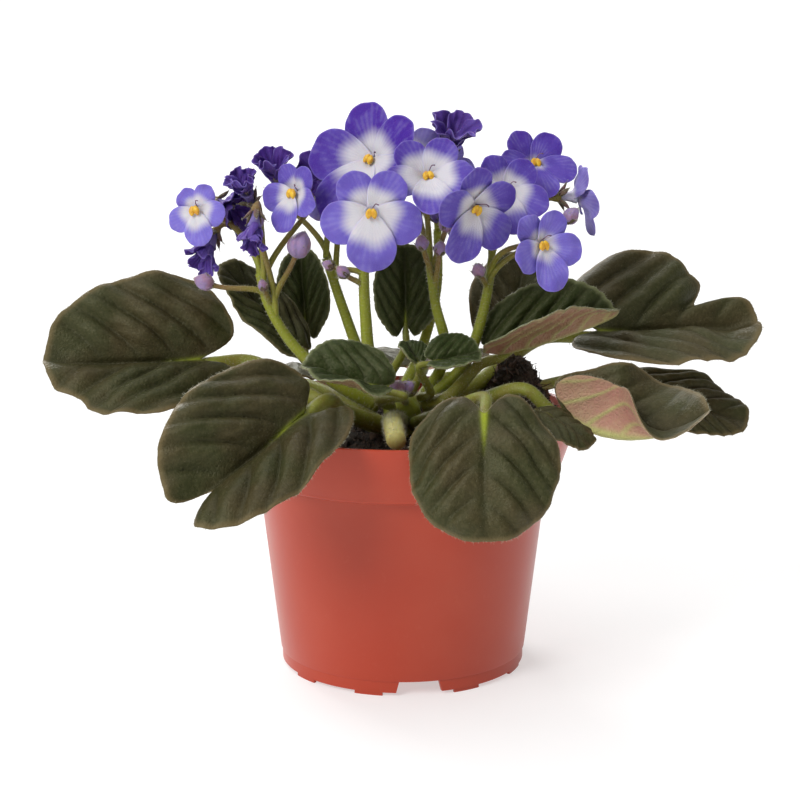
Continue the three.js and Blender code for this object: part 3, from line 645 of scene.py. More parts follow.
@dataclass
class Foliage:
    """All the leaves, with their stalks and hairs."""

    leaves: Sequence[Leaf]
    habit: LeafHabit = LeafHabit()
    seed: int = 11

    def __post_init__(self) -> None:
        """Starts its random draws."""
        self.draw = np.random.default_rng(self.seed)

    def outline(self, leaf: Leaf, angle: Array) -> tuple[Array, Array]:
        """Place along and across the midrib of a leaf's margin.

        Args:
            leaf: The leaf.
            angle: Angles round the blade's middle in radians.

        Returns:
            The places along and across.
        """
        habit = self.habit
        reach = 1 - habit.sinus * bump(np.pi - np.abs(angle), habit.sinus_width)
        for at, width, depth in leaf.bites:
            reach = reach - depth * bump(angle - at, width)
        wavy = np.sin(5 * angle + leaf.bearing) + 0.6 * np.sin(11 * angle + leaf.heading)
        reach = reach + habit.tooth * (1 + 4 * leaf.young) * np.abs(np.sin(habit.teeth / 2 * angle))
        reach = reach + habit.wobble * wavy
        along = leaf.length * (0.5 - leaf.back + 0.5 * reach * np.cos(angle))
        return along, reach * 0.5 * leaf.width * np.sin(angle)

    def veins(self, leaf: Leaf, s: Array, t: Array) -> tuple[Array, Array]:
        """Quilting between the veins, and how near each point lies to a vein.

        Args:
            leaf: The leaf.
            s: Places along the midrib.
            t: Places across it.

        Returns:
            Height of the quilting from 0 to 1, and a mask that is 1 on a vein.
        """
        habit = self.habit
        out = np.abs(t) / (0.5 * leaf.width)
        count = habit.vein_pairs * (s / leaf.length + leaf.back - habit.vein_lean * out**1.5)
        count = count + np.where(t < 0, habit.vein_shift, 0.0)
        off = np.abs(count - np.round(count))
        branch = np.abs(np.sin(np.pi * (habit.cushions * out + 0.37 * np.floor(count) + 1.2 * off))) ** 0.6
        puff = np.sin(np.pi * off) ** 0.65 * smoothstep(out, 0.0, 0.35) * (0.85 + 0.15 * branch)
        side = bump(off, habit.vein_width) * (1 - 0.6 * smoothstep(out, 0.4, 1.0))
        return puff, np.maximum(side * 0.8, bump(t, 0.012 * leaf.length + 0.4))

    def blade(self, leaf: Leaf) -> Sheet:
        """One leaf's blade in its own frame.

        Args:
            leaf: The leaf.

        Returns:
            The blade, with the veins marked.
        """
        habit = self.habit
        grid = habit.small if leaf.length < habit.small_under else habit.large

        def relief(s: Array, t: Array, ring: Array, angle: Array) -> Array:
            """Waves of the margin, quilting, the midrib's groove, small puckers and unevenness.

            Args:
                s: Places along the midrib.
                t: Places across it.
                ring: Share of the way to the margin.
                angle: Angle round the blade in radians.

            Returns:
                Heights in millimetres.
            """
            calm = 1 - habit.calm * smoothstep(sum(leaf.fold), *habit.folded)
            puff, _ = self.veins(leaf, s, t)
            flat = np.stack([s, t], axis=-1)
            wave = ring**2 * leaf.ruffle * np.sin(leaf.ruffles * angle + leaf.phase)
            quilt = calm * habit.puff * leaf.length * puff * (1 - 0.7 * ring**4)
            uneven = calm * ripple(flat, 0.35 * leaf.length, self.draw) * habit.uneven * leaf.length
            pucker = ripple(flat, 4.5, self.draw, 10) * habit.pucker * (1 - ring**4)
            groove = habit.groove * bump(t, habit.groove_width) * (1 - ring**2)
            groove = groove * smoothstep(s / leaf.length, 0.08, 0.3)
            return wave + quilt - groove + uneven * ring + pucker

        sheet = thin_blade(grid, leaf.length, lambda angle: self.outline(leaf, angle),
                           lambda s, t, ring: leaf.middle(s, t), relief)
        _, vein = self.veins(leaf, sheet.s, sheet.t)
        ahead = sheet.s / leaf.length
        narrow = (0.018 - 0.025 * np.clip(ahead, 0, 0.5)) * leaf.length
        middle = bump(sheet.t, narrow) * (1 - smoothstep(ahead, 0.0, 0.3))
        sheet.body.marks["vein"] = np.tile(vein, 2)
        sheet.body.marks["rib"] = np.tile(middle, 2)
        sheet.body.marks["young"] = np.full(2 * len(sheet.s), leaf.young)
        return sheet

    def stalk(self, leaf: Leaf) -> Body:
        """One leaf's stalk, from the crown to a little way under its blade.

        Args:
            leaf: The leaf.

        Returns:
            The stalk, with material 2.
        """
        habit, matrix = self.habit, leaf.frame()
        size = min(1.0, max(habit.least, leaf.length / habit.full_at))

        def under(share: float, depth: float) -> Array:
            """Point below the midrib."""
            point = leaf.middle(np.array([share * leaf.length]), np.array([0.0])) - [0, 0, size * depth]
            return place(matrix, point)[0]

        way = np.array([math.cos(math.radians(leaf.bearing)), math.sin(math.radians(leaf.bearing)), 0])
        root = way * habit.stalk_clear + [0, 0, leaf.rise]
        meet = under(0, habit.sink * habit.stalk_end)
        reach = float(np.linalg.norm(root - meet))
        leave = root + way * habit.leave * reach + [0, 0, habit.stalk_arch * reach]
        arrive = meet - matrix[:3, 0] * habit.arrive * reach - matrix[:3, 2] * leaf.tuck
        end = under(habit.under, habit.fade * habit.stalk_tip)
        course = Course.through([root, leave, arrive, meet, end])
        share = 1 - float(np.linalg.norm(meet - end)) / course.length

        def radius(along: Array) -> Array:
            """Radius that falls towards the blade and fades under it."""
            wide = lerp(habit.stalk_root, habit.stalk_end, np.minimum(1, along / share))
            return size * lerp(wide, habit.stalk_tip, np.maximum(0, (along - share) / (1 - share)))

        return tube(course, radius, *habit.stalk_grid, finish=2, ridges=3, ridge=0.03)

    def build(self, paints: Finishes) -> None:
        """Makes every leaf, and the hairs on all of them.

        Args:
            paints: The materials.
        """
        habit, long, short = self.habit, [], []
        finishes = (paints.leaf_upper, paints.leaf_under, paints.leaf_stem)
        for leaf in self.leaves:
            sheet = self.blade(leaf)
            blade = sheet.body.moved(leaf.frame())
            stalk = self.stalk(leaf)
            piece(leaf.name + "_blade", joined([blade, stalk]), finishes, "leaf", leaf.name)
            faces = np.arange(2 * len(sheet.s)).reshape(2, -1)
            for face, density, length in zip(faces, habit.down, habit.down_length):
                count = int(density * (leaf.length * leaf.width))
                short.append(coat(blade, count, length, self.draw, habit.down_lean, face))
            long.append(self.fringe(blade, sheet, int(habit.fringe * leaf.length)))
            rate, more = habit.stalk_hairs
            length, lean = habit.stalk_hair
            long.append(coat(stalk, int(rate * leaf.length) + more, length, self.draw, lean))
        piece("leaf_hairs", joined(long), (paints.fuzz,), "leaf")
        piece("leaf_down", joined(short), (paints.leaf_fuzz,), "leaf")

    def fringe(self, blade: Body, sheet: Sheet, count: int) -> Body:
        """Hairs that stand out from a blade's margin.

        Args:
            blade: The blade in its place.
            sheet: The same blade with its margin named.
            count: How many hairs.

        Returns:
            The hairs.
        """
        rays = len(sheet.margin)
        chosen = self.draw.integers(0, rays, count)
        rim = sheet.margin[chosen]
        outward = unit(blade.points[rim] - blade.points[rim - 4 * rays])
        ahead = unit(outward + 0.45 * self.draw.normal(size=(count, 3)))
        beside = blade.points[sheet.margin[(chosen + 1) % rays]]
        roots = blade.points[rim] + (beside - blade.points[rim]) * self.draw.random((count, 1))
        return hairs(roots, ahead, self.draw.uniform(0.5, 1.2, count))


# ---------------------------------------------------------------- blooms and flower stalks


class Stage(Enum):
    """How far a bloom has come."""

    FRESH = "fresh"
    FADED = "faded"


@dataclass(frozen=True)
class Bloom:
    """One bloom. turn, lift and roll say how it faces, and pale how much of each petal is white."""

    at: Point
    turn: float
    lift: float
    roll: float
    size: float
    open: float
    stage: Stage = Stage.FRESH
    upper: float = 1.0
    pale: float = 0.42
    deep: float = 0.3

    @property
    def faded(self) -> bool:
        """Whether it has shrivelled."""
        return self.stage is Stage.FADED

    def frame(self) -> Array:
        """Frame of the bloom: x to its right, y up and z the way it faces.

        Returns:
            Matrix from that frame to its place.
        """
        turn, lift = math.radians(self.turn), math.radians(self.lift)
        level = np.array([math.sin(turn), -math.cos(turn), 0])
        upright = np.array([0.0, 0.0, 1.0])
        face = level * math.cos(lift) + upright * math.sin(lift)
        up = -level * math.sin(lift) + upright * math.cos(lift)
        matrix = np.eye(4)
        matrix[:3, :3] = np.stack([np.cross(up, face), up, face], axis=1)
        matrix[:3, 3] = self.at
        return matrix @ np.array(Matrix.Rotation(math.radians(self.roll), 4, "Z"))


@dataclass(frozen=True)
class Bud:
    """One bud: the place of its tip, and its length."""

    at: Point
    size: float

    def base(self, start: Array) -> tuple[Array, Array]:
        """Where its pedicel from a start ends, and the way it points."""
        ahead = unit(np.array(self.at) - start)
        return np.array(self.at) - ahead * self.size, ahead


@dataclass(frozen=True)
class FlowerStalk:
    """One branched flower stalk with its blooms and buds."""

    name: str
    radius: float
    path: tuple[Point, ...]
    buds: tuple[Bud, ...]
    blooms: tuple[Bloom, ...]


@dataclass(frozen=True)
class Petal:
    """Place of one petal round the throat."""

    turn: float
    scale: float
    layer: float
    upper: bool = False


@dataclass(frozen=True)
class Manner:
    """How a bloom at one stage is shaped and coloured."""

    breadth: float
    recurve: float
    ruffle: float
    waves: int
    crumple: float
    crease: float
    uneven: float  # waviness of the margin
    behind: float  # how violet the petals' backs are
    spread: float  # degrees that the sepals stand out


PETALS = (
    Petal(54, 0.9, 0, True),
    Petal(126, 0.9, -1, True),
    Petal(-18, 1.0, 1),
    Petal(198, 1.0, 1),
    Petal(270, 1.12, 2),
)
MANNERS = {
    Stage.FRESH: Manner(0.9, 20, 0.25, 11, 0.4, 0.02, 0.011, 0.7, 38),
    Stage.FADED: Manner(1.25, -14, 0.8, 8, 0.9, 0.12, 0.03, 0.9, 20),
}


@dataclass(frozen=True)
class FlowerHabit:
    """What all the flower stalks and blooms share."""

    layer: float = 0.9  # spacing of overlapping petals
    grid: Grid = Grid(56, 15, 0.5, 0.6, 0.4, 0.06)
    back: float = 0.04
    neck: float = 0.55
    throat: float = 4.0
    throat_front: float = 2.4
    gap: float = 0.3
    anther: Point = (1.05, 1.7, 0.9)  # half sizes of one pollen sac
    spread: float = 0.8
    splay: float = 12.0
    stalk_end: float = 0.7
    forks: float = 0.3
    root: float = 1.1
    end: float = 0.8
    swing: float = 0.42
    calyx: float = 1.9  # the sepals that stand round it reach the rest of the flare
    calyx_ring: float = 1.3  # radius of the ring that they stand on
    sepal: float = 5.4
    bud_sepal: float = 0.62  # as a share of the bud's length
    bud_spread: float = 6.0
    stalk_flush: float = 0.3  # where along the flush of colour the stalk ends and its pedicels start
    pedicel_flush: float = 0.75
    bud_breadth: float = 0.4
    pedicel_grid: tuple[int, int] = (26, 12)  # steps along a pedicel and sides round it
    stalk_grid: tuple[int, int] = (44, 18)
    stalk_hairs: int = 900
    pedicel_hairs: int = 150
    top_hairs: int = 160  # on each bud or ring of sepals
    hair: float = 0.9
    top_hair: float = 0.7
    hair_lean: float = 0.4


@dataclass
class Flowers:
    """All the flower stalks, with their pedicels, sepals, buds, blooms and anthers."""

    stalks: Sequence[FlowerStalk]
    habit: FlowerHabit = FlowerHabit()
    seed: int = 23

    def __post_init__(self) -> None:
        """Starts its random draws."""
        self.draw = np.random.default_rng(self.seed)

    def bowl(self, bloom: Bloom, one: Petal, s: Array, t: Array, ring: Array) -> Array:
        """Middle surface of a petal in its bloom's frame.

        Args:
            bloom: The bloom.
            one: The petal.
            s: Places along the petal from the throat.
            t: Places across it.
            ring: Share of the way from its middle to its margin.

        Returns:
            Points in millimetres.
        """
        manner = MANNERS[bloom.stage]
        reach = np.hypot(s, t)
        angle = np.arctan2(t, s) + math.radians(one.turn)
        droop = math.radians(manner.recurve) * reach / bloom.size
        slope = math.radians(bloom.open) - droop
        edge = (reach / bloom.size) * ring**3
        level = self.habit.layer * one.layer + 2 * manner.ruffle * edge * np.sin(manner.waves * angle)
        level = level + 0.14 * t**2 / bloom.size
        out = reach * sinc(droop) * np.cos(slope) - level * np.sin(slope - droop)
        forward = reach * sinc(droop) * np.sin(slope) + level * np.cos(slope - droop)
        return np.stack([out * np.cos(angle), out * np.sin(angle), forward], axis=-1)

    def petal(self, bloom: Bloom, one: Petal) -> Body:
        """One petal in its bloom's frame.

        Args:
            bloom: The bloom.
            one: The petal.

        Returns:
            The petal, with how violet and how deep in colour it is marked.
        """
        habit, manner, draw = self.habit, MANNERS[bloom.stage], self.draw
        length = 0.5 * bloom.size * one.scale * (bloom.upper if one.upper else 1.0)
        phase = draw.uniform(0, 6.28, 3)

        def outline(angle: Array) -> tuple[Array, Array]:
            """Margin of the petal, narrowed to its base and finely waved.

            Args:
                angle: Angles round the petal in radians.

            Returns:
                The places along and across.
            """
            wavy = manner.uneven * (np.sin(7 * angle + phase[0]) + 0.6 * np.sin(13 * angle + phase[1]))
            reach = 1 + wavy * np.cos(angle / 2) ** 2
            half = 0.5 * manner.breadth * length * (1 - habit.neck * np.sin(angle / 2) ** 4)
            along = length * (0.5 - habit.back + 0.5 * reach * np.cos(angle))
            return along, reach * half * np.sin(angle)

        def relief(s: Array, t: Array, ring: Array, angle: Array) -> Array:
            """Soft creases that run out from the throat.

            Args:
                s: Places along the petal.
                t: Places across it.
                ring: Share of the way to the margin.
                angle: Angle round the petal, which doesn't matter here.

            Returns:
                Heights in millimetres.
            """
            crease = np.sin(21 * np.arctan2(t, s + 0.2 * length) + phase[2]) * manner.crease
            buckle = ripple(np.stack([s, t], axis=-1), 0.8 * length, draw, 4)
            return crease * s / length * 2 + manner.crumple * buckle * smoothstep(ring, 0.1, 1)

        sheet = thin_blade(habit.grid, length, outline,
                           lambda s, t, ring: self.bowl(bloom, one, s, t, ring), relief)
        reach = np.hypot(sheet.s, sheet.t) / length
        lobes = 0.03 * np.sin(6 * np.arctan2(sheet.t, sheet.s) + phase[0])
        violet = smoothstep(reach + lobes, bloom.pale - 0.14, bloom.pale + 0.16)
        deep = np.clip(bloom.deep + 0.12 * smoothstep(reach, 0.6, 1.0) + (0.1 if one.upper else 0.0), 0, 1)
        spent = draw.uniform(0.55, 0.9) if bloom.faded else 0.0
        sheet.body.marks = {
            "violet": np.concatenate([violet, (0.5 + 0.5 * manner.behind) * violet]),
            "deep": np.concatenate([deep, manner.behind * deep]),
            "streak": np.tile(np.arctan2(sheet.t, sheet.s + 0.1), 2),
            "reach": np.tile(reach, 2),
            "rim": np.tile(smoothstep(sheet.ring, 0.93, 1.0), 2),
            "spent": np.full(2 * len(reach), spent),
        }
        sheet.body.finish[:] = [0] * len(sheet.body.finish)
        return sheet.body

    def throat(self, bloom: Bloom) -> Body:
        """Short tube behind a bloom's petals, with a hollow front.

        Args:
            bloom: The bloom.

        Returns:
            The tube, with the petals' marks.
        """
        rows = [(1.3, -self.habit.throat), (1.35, -2.5), (1.7, -1.0), (2.3, 0.6), (2.5, 1.3), (1.9, 1.1),
                (1.2, 0.2), (0.3, 0.0)]
        body = rings_body(turned(rows, 20))
        tint = 0.75 if bloom.faded else 0.2
        values = {"violet": tint, "deep": tint, "streak": 0.0, "reach": 0.2, "rim": 0.0,
                  "spent": 0.4 * bloom.faded}
        body.marks = {name: np.full(len(body.points), value) for name, value in values.items()}
        return body

    def anthers(self) -> Body:
        """Pair of plump pollen sacs in a bloom's frame.

        Returns:
            The pair.
        """
        habit = self.habit
        wide, long, deep = habit.anther
        front = habit.throat_front + habit.gap + deep

        def plump(u: Array, a: Array) -> Array:
            """Radius of a sac, with a seam along its front."""
            return np.sin(np.pi * np.clip(u, 0, 1)) ** 0.6 * (1 - 0.22 * bump(a - 1.5 * np.pi, 0.35))

        sacs = []
        for side in (-1, 1):
            matrix = Matrix.Translation((side * habit.spread, 0, front))
            matrix = matrix @ Matrix.Rotation(side * math.radians(habit.splay), 4, "Z")
            matrix = matrix @ Matrix.Rotation(math.radians(-90), 4, "X")
            matrix = matrix @ Matrix.Diagonal((wide, deep, 2 * long, 1)) @ Matrix.Translation((0, 0, -0.5))
            sacs.append(lump(plump, 1.0, 14, 20).moved(np.array(matrix)))
        return joined(sacs)

    def style(self) -> Body:
        """Slim curved style that leans out over the anthers."""
        course = Course.through([(0.3, 1.2, 0.8), (0.8, 2.4, 3.2), (1.5, 3.1, 4.4), (2.4, 2.8, 4.9)])
        return tube(course, lambda u: 0.16 + 0.18 * smoothstep(u, 0.88, 1.0) * (u < 1), 18, 8)

    def sepals(self, base: Array, ahead: Array, length: float, open_out: float, round_by: float) -> Body:
        """Five narrow sepals round a point.

        Args:
            base: Where they grow from.
            ahead: The way the bloom or bud faces.
            length: Their length in millimetres.
            open_out: How far they stand away from the middle, in degrees.
            round_by: Radius of the ring that they stand on.

        Returns:
            The sepals, with material 1.
        """

        def slim(u: Array, a: Array) -> Array:
            """Radius of a narrow pointed sepal."""
            wide = 0.95 * np.sin(np.pi * np.minimum(u + 0.12, 1)) ** 0.8 + 0.06
            return wide * (0.42 + 0.58 * np.abs(np.sin(a)))

        made = []
        for i in range(5):
            sepal = lump(slim, length * self.draw.uniform(0.85, 1.1), 12, 10, finish=1, lean=0.35 * length)
            turn = 2 * np.pi * i / 5 + self.draw.normal() * 0.12
            matrix = Matrix.Rotation(turn, 4, "Z") @ Matrix.Translation((round_by, 0, 0))
            matrix = matrix @ Matrix.Rotation(math.radians(open_out + self.draw.normal() * 7), 4, "Y")
            made.append(sepal.moved(facing(base, ahead) @ np.array(matrix)))
        return joined(made)

    def bud(self, base: Array, ahead: Array, size: float) -> Body:
        """Plump pointed bud with its folded petals, in material 2.

        Args:
            base: The end of its pedicel.
            ahead: The way it points.
            size: Its length in millimetres.

        Returns:
            The bud.
        """
        breadth = self.habit.bud_breadth * size

        def swell(u: Array, a: Array) -> Array:
            """Radius with five petals that lap over each other and turn towards the tip.

            Args:
                u: Shares of the bud's length.
                a: Angles round it in radians.

            Returns:
                Radii in millimetres.
            """
            lap = (2.5 * a / np.pi + 0.9 * u) % 1.0
            lap = np.minimum(lap, 6 * (1 - lap))
            return breadth * np.sin(np.pi * np.clip(u, 0, 1) ** 0.8) ** 0.65 * (0.9 + 0.22 * lap)

        return lump(swell, size, 24, 50, finish=2).moved(facing(base - 0.1 * size * ahead, ahead))

    def pedicel(self, start: Array, end: Array, ahead: Array, flare: float) -> Body:
        """Slim stem from the stalk to a bloom or bud.

        Args:
            start: Where it leaves the stalk.
            end: Where it ends.
            ahead: The way it arrives.
            flare: Radius at its end.

        Returns:
            The stem, marked as the upper part of the plant.
        """
        habit = self.habit
        reach = habit.swing * float(np.linalg.norm(end - start))
        course = Course.swung(start, start + [0, 0, reach], end - ahead * reach, end)

        def radius(along: Array) -> Array:
            """Radius that falls slowly and then flares into what it carries."""
            return lerp(habit.root, habit.end, along) + (flare - habit.end) * smoothstep(along, 0.9, 1.0)

        body = tube(course, radius, *habit.pedicel_grid)
        body.marks["along"] = habit.stalk_flush + habit.pedicel_flush * body.marks["along"]
        return body

    def build(self, paints: Finishes) -> None:
        """Makes every flower stalk and every bloom, and the hairs on them.

        Args:
            paints: The materials.
        """
        habit, number, coats = self.habit, 0, []
        finishes = (paints.flower_stem, paints.sepal, paints.bud)
        for stalk in self.stalks:
            course = Course.through(stalk.path)
            stems = [tube(course, lambda u: stalk.radius * lerp(1, habit.stalk_end, u), *habit.stalk_grid,
                          ridges=4, ridge=0.03)]
            stems[0].marks["along"] = stems[0].marks["along"] * habit.stalk_flush
            tops = []
            count = len(stalk.blooms) + len(stalk.buds)
            forks = course.at(1 - habit.forks * np.arange(count) / count)
            for fork, bloom in zip(forks, stalk.blooms):
                ahead = bloom.frame()[:3, 2]
                end = np.array(bloom.at) - ahead * (habit.throat + habit.gap)
                stems.append(self.pedicel(fork, end, ahead, habit.calyx))
                spread = MANNERS[bloom.stage].spread
                tops.append(self.sepals(end - 0.6 * ahead, ahead, habit.sepal, spread, habit.calyx_ring))
                number += 1
                self.bloom(number, bloom, paints)
            for fork, one in zip(forks[len(stalk.blooms):], stalk.buds):
                end, ahead = one.base(fork)
                stems.append(self.pedicel(fork, end, ahead, 1.0))
                tops.append(self.bud(end, ahead, one.size))
                tops.append(self.sepals(end - 0.4 * ahead, ahead, habit.bud_sepal * one.size,
                                        habit.bud_spread, 0.75 + 0.05 * one.size))
            piece(stalk.name + "_stem", joined(stems + tops), finishes, "stalk", stalk.name)
            counts = [habit.stalk_hairs] + [habit.pedicel_hairs] * (len(stems) - 1)
            lean = habit.hair_lean
            coats += [coat(one, many, habit.hair, self.draw, lean) for one, many in zip(stems, counts)]
            coats += [coat(one, habit.top_hairs, habit.top_hair, self.draw, lean) for one in tops]
        piece("flower_stalk_hairs", joined(coats), (paints.fuzz,), "stalk")

    def bloom(self, number: int, bloom: Bloom, paints: Finishes) -> None:
        """Makes one bloom, and its anthers and style if it is fresh.

        Args:
            number: Its number on the plant.
            bloom: The bloom.
            paints: The materials.
        """
        matrix, node = bloom.frame(), f"bloom_{number:02d}"
        parts = [self.throat(bloom), *(self.petal(bloom, one) for one in PETALS)]
        piece(node + "_petals", joined(parts).moved(matrix), (paints.petal,), "petal", node)
        if not bloom.faded:
            pair = f"anthers_{number:02d}"
            piece(pair + "_pair", self.anthers().moved(matrix), (paints.anther,), "anther", pair)
            piece(node + "_style", self.style().moved(matrix), (paints.style,), "petal")


# ---------------------------------------------------------------- crown


@dataclass(frozen=True)
class CrownSizes:
    """Sizes of the crown and of what grows short on it."""

    bottom: float = 76.0
    top: float = 93.0
    radius: float = 7.0
    cut_path: tuple[Point, ...] = ((-1, -5, 84), (-3, -20, 88), (-3, -36, 90), (-2, -50, 88))
    cut_radius: float = 3.2
    cut_round: float = 0.06  # how much its end draws in
    young_path: tuple[Point, ...] = ((1, -5, 91), (0, -14, 94), (-2, -24, 98))
    young_radius: float = 1.1
    young_buds: tuple[Bud, ...] = (Bud((-1, -29, 103), 7), Bud((4, -26, 102), 5.5))
    hairs: tuple[int, int, int] = (1500, 200, 260)  # on the cut stalk, the young stalk and each bud or sepals


@dataclass
class Crown:
    """The short crown, a cut leaf stalk, and a young flower stalk with its first buds.

    It borrows the flowers' way of making buds and sepals.
    """

    flowers: Flowers
    sizes: CrownSizes = CrownSizes()
    seed: int = 5

    def __post_init__(self) -> None:
        """Starts its random draws."""
        self.draw = np.random.default_rng(self.seed)

    def build(self, paints: Finishes) -> None:
        """Makes the crown and its hairs.

        Args:
            paints: The materials.
        """
        sizes = self.sizes
        height = sizes.top - sizes.bottom

        def scarred(u: Array, a: Array) -> Array:
            """Radius with the scars of old leaves round it."""
            scars = 0.06 * np.cos(5 * a + 9 * u) + 0.04 * np.cos(18 * u)
            return sizes.radius * (1 - u**5) ** 0.5 * (0.94 + scars) * (1 - 0.06 * bump(u, 0.05))

        upright = facing(np.array([0, 0, sizes.bottom]), np.array([0, 0, 1.0]))
        core = lump(scarred, height, 30, 48).moved(upright)
        core.marks["along"] = np.full(len(core.points), 0.1)
        cut = tube(Course.through(sizes.cut_path),
                   lambda u: sizes.cut_radius * (1 - sizes.cut_round * smoothstep(u, 0.98, 1)),
                   40, 20, finish=3, ridges=3, ridge=0.04)
        young = tube(Course.through(sizes.young_path), lambda u: np.full_like(u, sizes.young_radius), 16, 12)
        tops = []
        for one in sizes.young_buds:
            end, ahead = one.base(np.array(sizes.young_path[-1], float))
            tops.append(self.flowers.bud(end, ahead, one.size))
            tops.append(self.flowers.sepals(end, ahead, 0.7 * one.size, 5, 1.0))
        finishes = (paints.flower_stem, paints.sepal, paints.bud, paints.cut_stem)
        piece("crown_growth", joined([core, cut, young, *tops]), finishes, "crown", "crown")
        on_cut, on_young, on_top = sizes.hairs
        coats = [coat(cut, on_cut, 1.1, self.draw, 0.4), coat(young, on_young, 0.8, self.draw, 0.4)]
        coats += [coat(one, on_top, 0.9, self.draw, 0.4) for one in tops]
        piece("crown_hairs", joined(coats), (paints.fuzz,), "crown")


# ---------------------------------------------------------------- pot and potting mix


@dataclass(frozen=True)
class PotSizes:
    """Sizes of the pot in millimetres, and angles in degrees."""

    height: float = 87.3
    rim_radius: float = 60.0
    collar_bottom: float = 68.2
    collar_radius: float = 53.4
    body_radius: float = 49.5
    base_radius: float = 42.2
    wall: float = 1.4
    shoulder: float = 2.4
    lip: float = 0.5
    skirt_bottom: float = 1.2
    skirt_top: float = 5.0
    skirt_radius: float = 41.7
    skirt_thickness: float = 1.6
    notches: int = 3
    notch_turn: float = -82.5
    notch_half: float = 10.5
    notch_slant: float = 1.5
    foot_turns: tuple[float, ...] = (-23.5, 23.5, 60)
    foot_half: float = 6.7
    foot_inset: float = 0.3
    foot_slant: float = 0.25
    drain_reach: float = 14.0
    drain_radius: float = 4.0
    drain_ring: float = 28.0
    drains: int = 5
    sides: int = 192


@dataclass(frozen=True)
class Pot:
    """The moulded nursery pot."""

    sizes: PotSizes = PotSizes()

    def profile(self) -> list[tuple[float, float]]:
        """Outline of the pot, from its floor out, up and back in.

        Returns:
            Its radius and height at each point.
        """
        z = self.sizes
        wall, floor, shelf, top, lip = z.wall, z.skirt_top, z.collar_bottom, z.height, z.lip
        base, body, collar, rim = z.base_radius, z.body_radius, z.collar_radius, z.rim_radius
        slope = (rim - collar) / (top - shelf)
        return [
            (base - 0.8, floor),
            (base - 0.15, floor + 0.1),
            (base, floor + 0.5),
            (body, shelf - 0.3),
            (body + 0.3, shelf),
            (collar - 0.3, shelf),
            (collar + 0.1, shelf + 0.3),
            (collar + 0.3, shelf + 0.8),
            (collar + 0.4, shelf + 1.3),
            (collar + 0.55, shelf + 1.6),
            (rim - slope * lip, top - lip),
            (rim - 0.15 - 0.1 * lip, top - 0.12),
            (rim - 0.5, top),
            (rim - wall + 0.45, top),
            (rim - wall + 0.1, top - 0.15),
            (rim - wall - 0.2, top - lip),
            (collar - wall, shelf + wall + 0.3),
            (collar - wall - 0.4, shelf + wall - 0.2),
            (body - wall, shelf + wall - z.shoulder),
            (base - wall, floor + wall + 0.4),
            (base - wall - 0.4, floor + wall),
        ]

    def arc(self, turn: float, half: float, slant: float, low: float, high: float, near: float, far: float,
            steps: int) -> Body:
        """Curved block round the pot's axis.

        Args:
            turn: Angle of its middle in degrees.
            half: Half of its angle at the bottom.
            slant: How much narrower the half angle is at the top.
            low: Height of its bottom.
            high: Height of its top.
            near: Inner radius.
            far: Outer radius.
            steps: Divisions along it.

        Returns:
            The block.
        """
        rows = []
        for i in range(steps + 1):
            share = 2 * i / steps - 1
            corners = []
            for radius, height, spread in ((near, low, half), (near, high, half - slant),
                                           (far, high, half - slant), (far, low, half)):
                a = math.radians(turn + share * spread)
                corners.append((radius * math.cos(a), radius * math.sin(a), height))
            rows.append(corners)
        return rings_body(np.array(rows))

    def build(self, paints: Finishes) -> None:
        """Makes the pot, with its skirt, feet and drain holes.

        Args:
            paints: The materials.
        """
        z = self.sizes
        shell = piece("pot_shell", rings_body(turned(self.profile(), z.sides)), (paints.pot,), "pot", "pot")
        hole = turned([(z.drain_radius, 0.0), (z.drain_radius, z.drain_reach)], 40)
        middles = turned([(z.drain_ring, 0.0)], z.drains)[0]
        self.cut(shell, joined([rings_body(hole + middle) for middle in middles]))
        inner, outer = z.skirt_radius - z.skirt_thickness, z.skirt_radius
        parts = []
        wide = 360 / z.notches
        for i in range(z.notches):
            turn = z.notch_turn + wide * i
            parts.append(self.arc(turn + wide / 2, wide / 2 - z.notch_half, -z.notch_slant, z.skirt_bottom,
                                  z.skirt_top + 0.5, inner, outer, 60))
            parts += [self.arc(turn + offset, z.foot_half, z.foot_slant, 0.0, z.skirt_bottom + 0.8,
                               inner + z.foot_inset, outer - z.foot_inset, 12) for offset in z.foot_turns]
        skirt = piece("pot_skirt", joined(parts), (paints.pot,), "pot")
        for part in (shell, skirt):
            part.data.set_sharp_from_angle(angle=math.radians(38))

    def cut(self, target: bpy.types.Object, cutters: Body) -> None:
        """Cuts holes through a piece and keeps the result as its mesh.

        Args:
            target: The piece.
            cutters: Closed bodies that are taken away.
        """
        mesh = bpy.data.meshes.new("drain_cutters")
        mesh.from_pydata((cutters.points * MM).tolist(), [], cutters.faces)
        tool = bpy.data.objects.new("drain_cutters", mesh)
        bpy.context.scene.collection.objects.link(tool)
        change = target.modifiers.new("drains", "BOOLEAN")
        change.operation = "DIFFERENCE"
        change.solver = "EXACT"
        change.object = tool
        graph = bpy.context.evaluated_depsgraph_get()
        done = bpy.data.meshes.new_from_object(target.evaluated_get(graph), depsgraph=graph)
        target.modifiers.remove(change)
        target.data = done
        bpy.data.objects.remove(tool)


@dataclass(frozen=True)
class MixSizes:
    """Sizes of the potting mix in millimetres."""

    top: float = 79.0
    gap: float = 0.3
    heap: Point = (38.0, 14.0, 25.0)
    spread: float = 12.0
    waves: int = 14
    rough: float = 0.75
    rings: int = 56
    sides: int = 180
    crumbs: tuple[int, float, float, float] = (5200, 0.35, 1.9, 0.1)  # how many, half sizes, flatness
    chips: tuple[int, float, float, float] = (260, 1.2, 3.2, 0.6)
    fibres: int = 420
    fibre_half: tuple[float, float] = (1.5, 5.0)  # half lengths
    fibre_radius: tuple[float, float] = (0.12, 0.3)
    fibre_bow: float = 0.8
    fibre_rise: float = 1.2


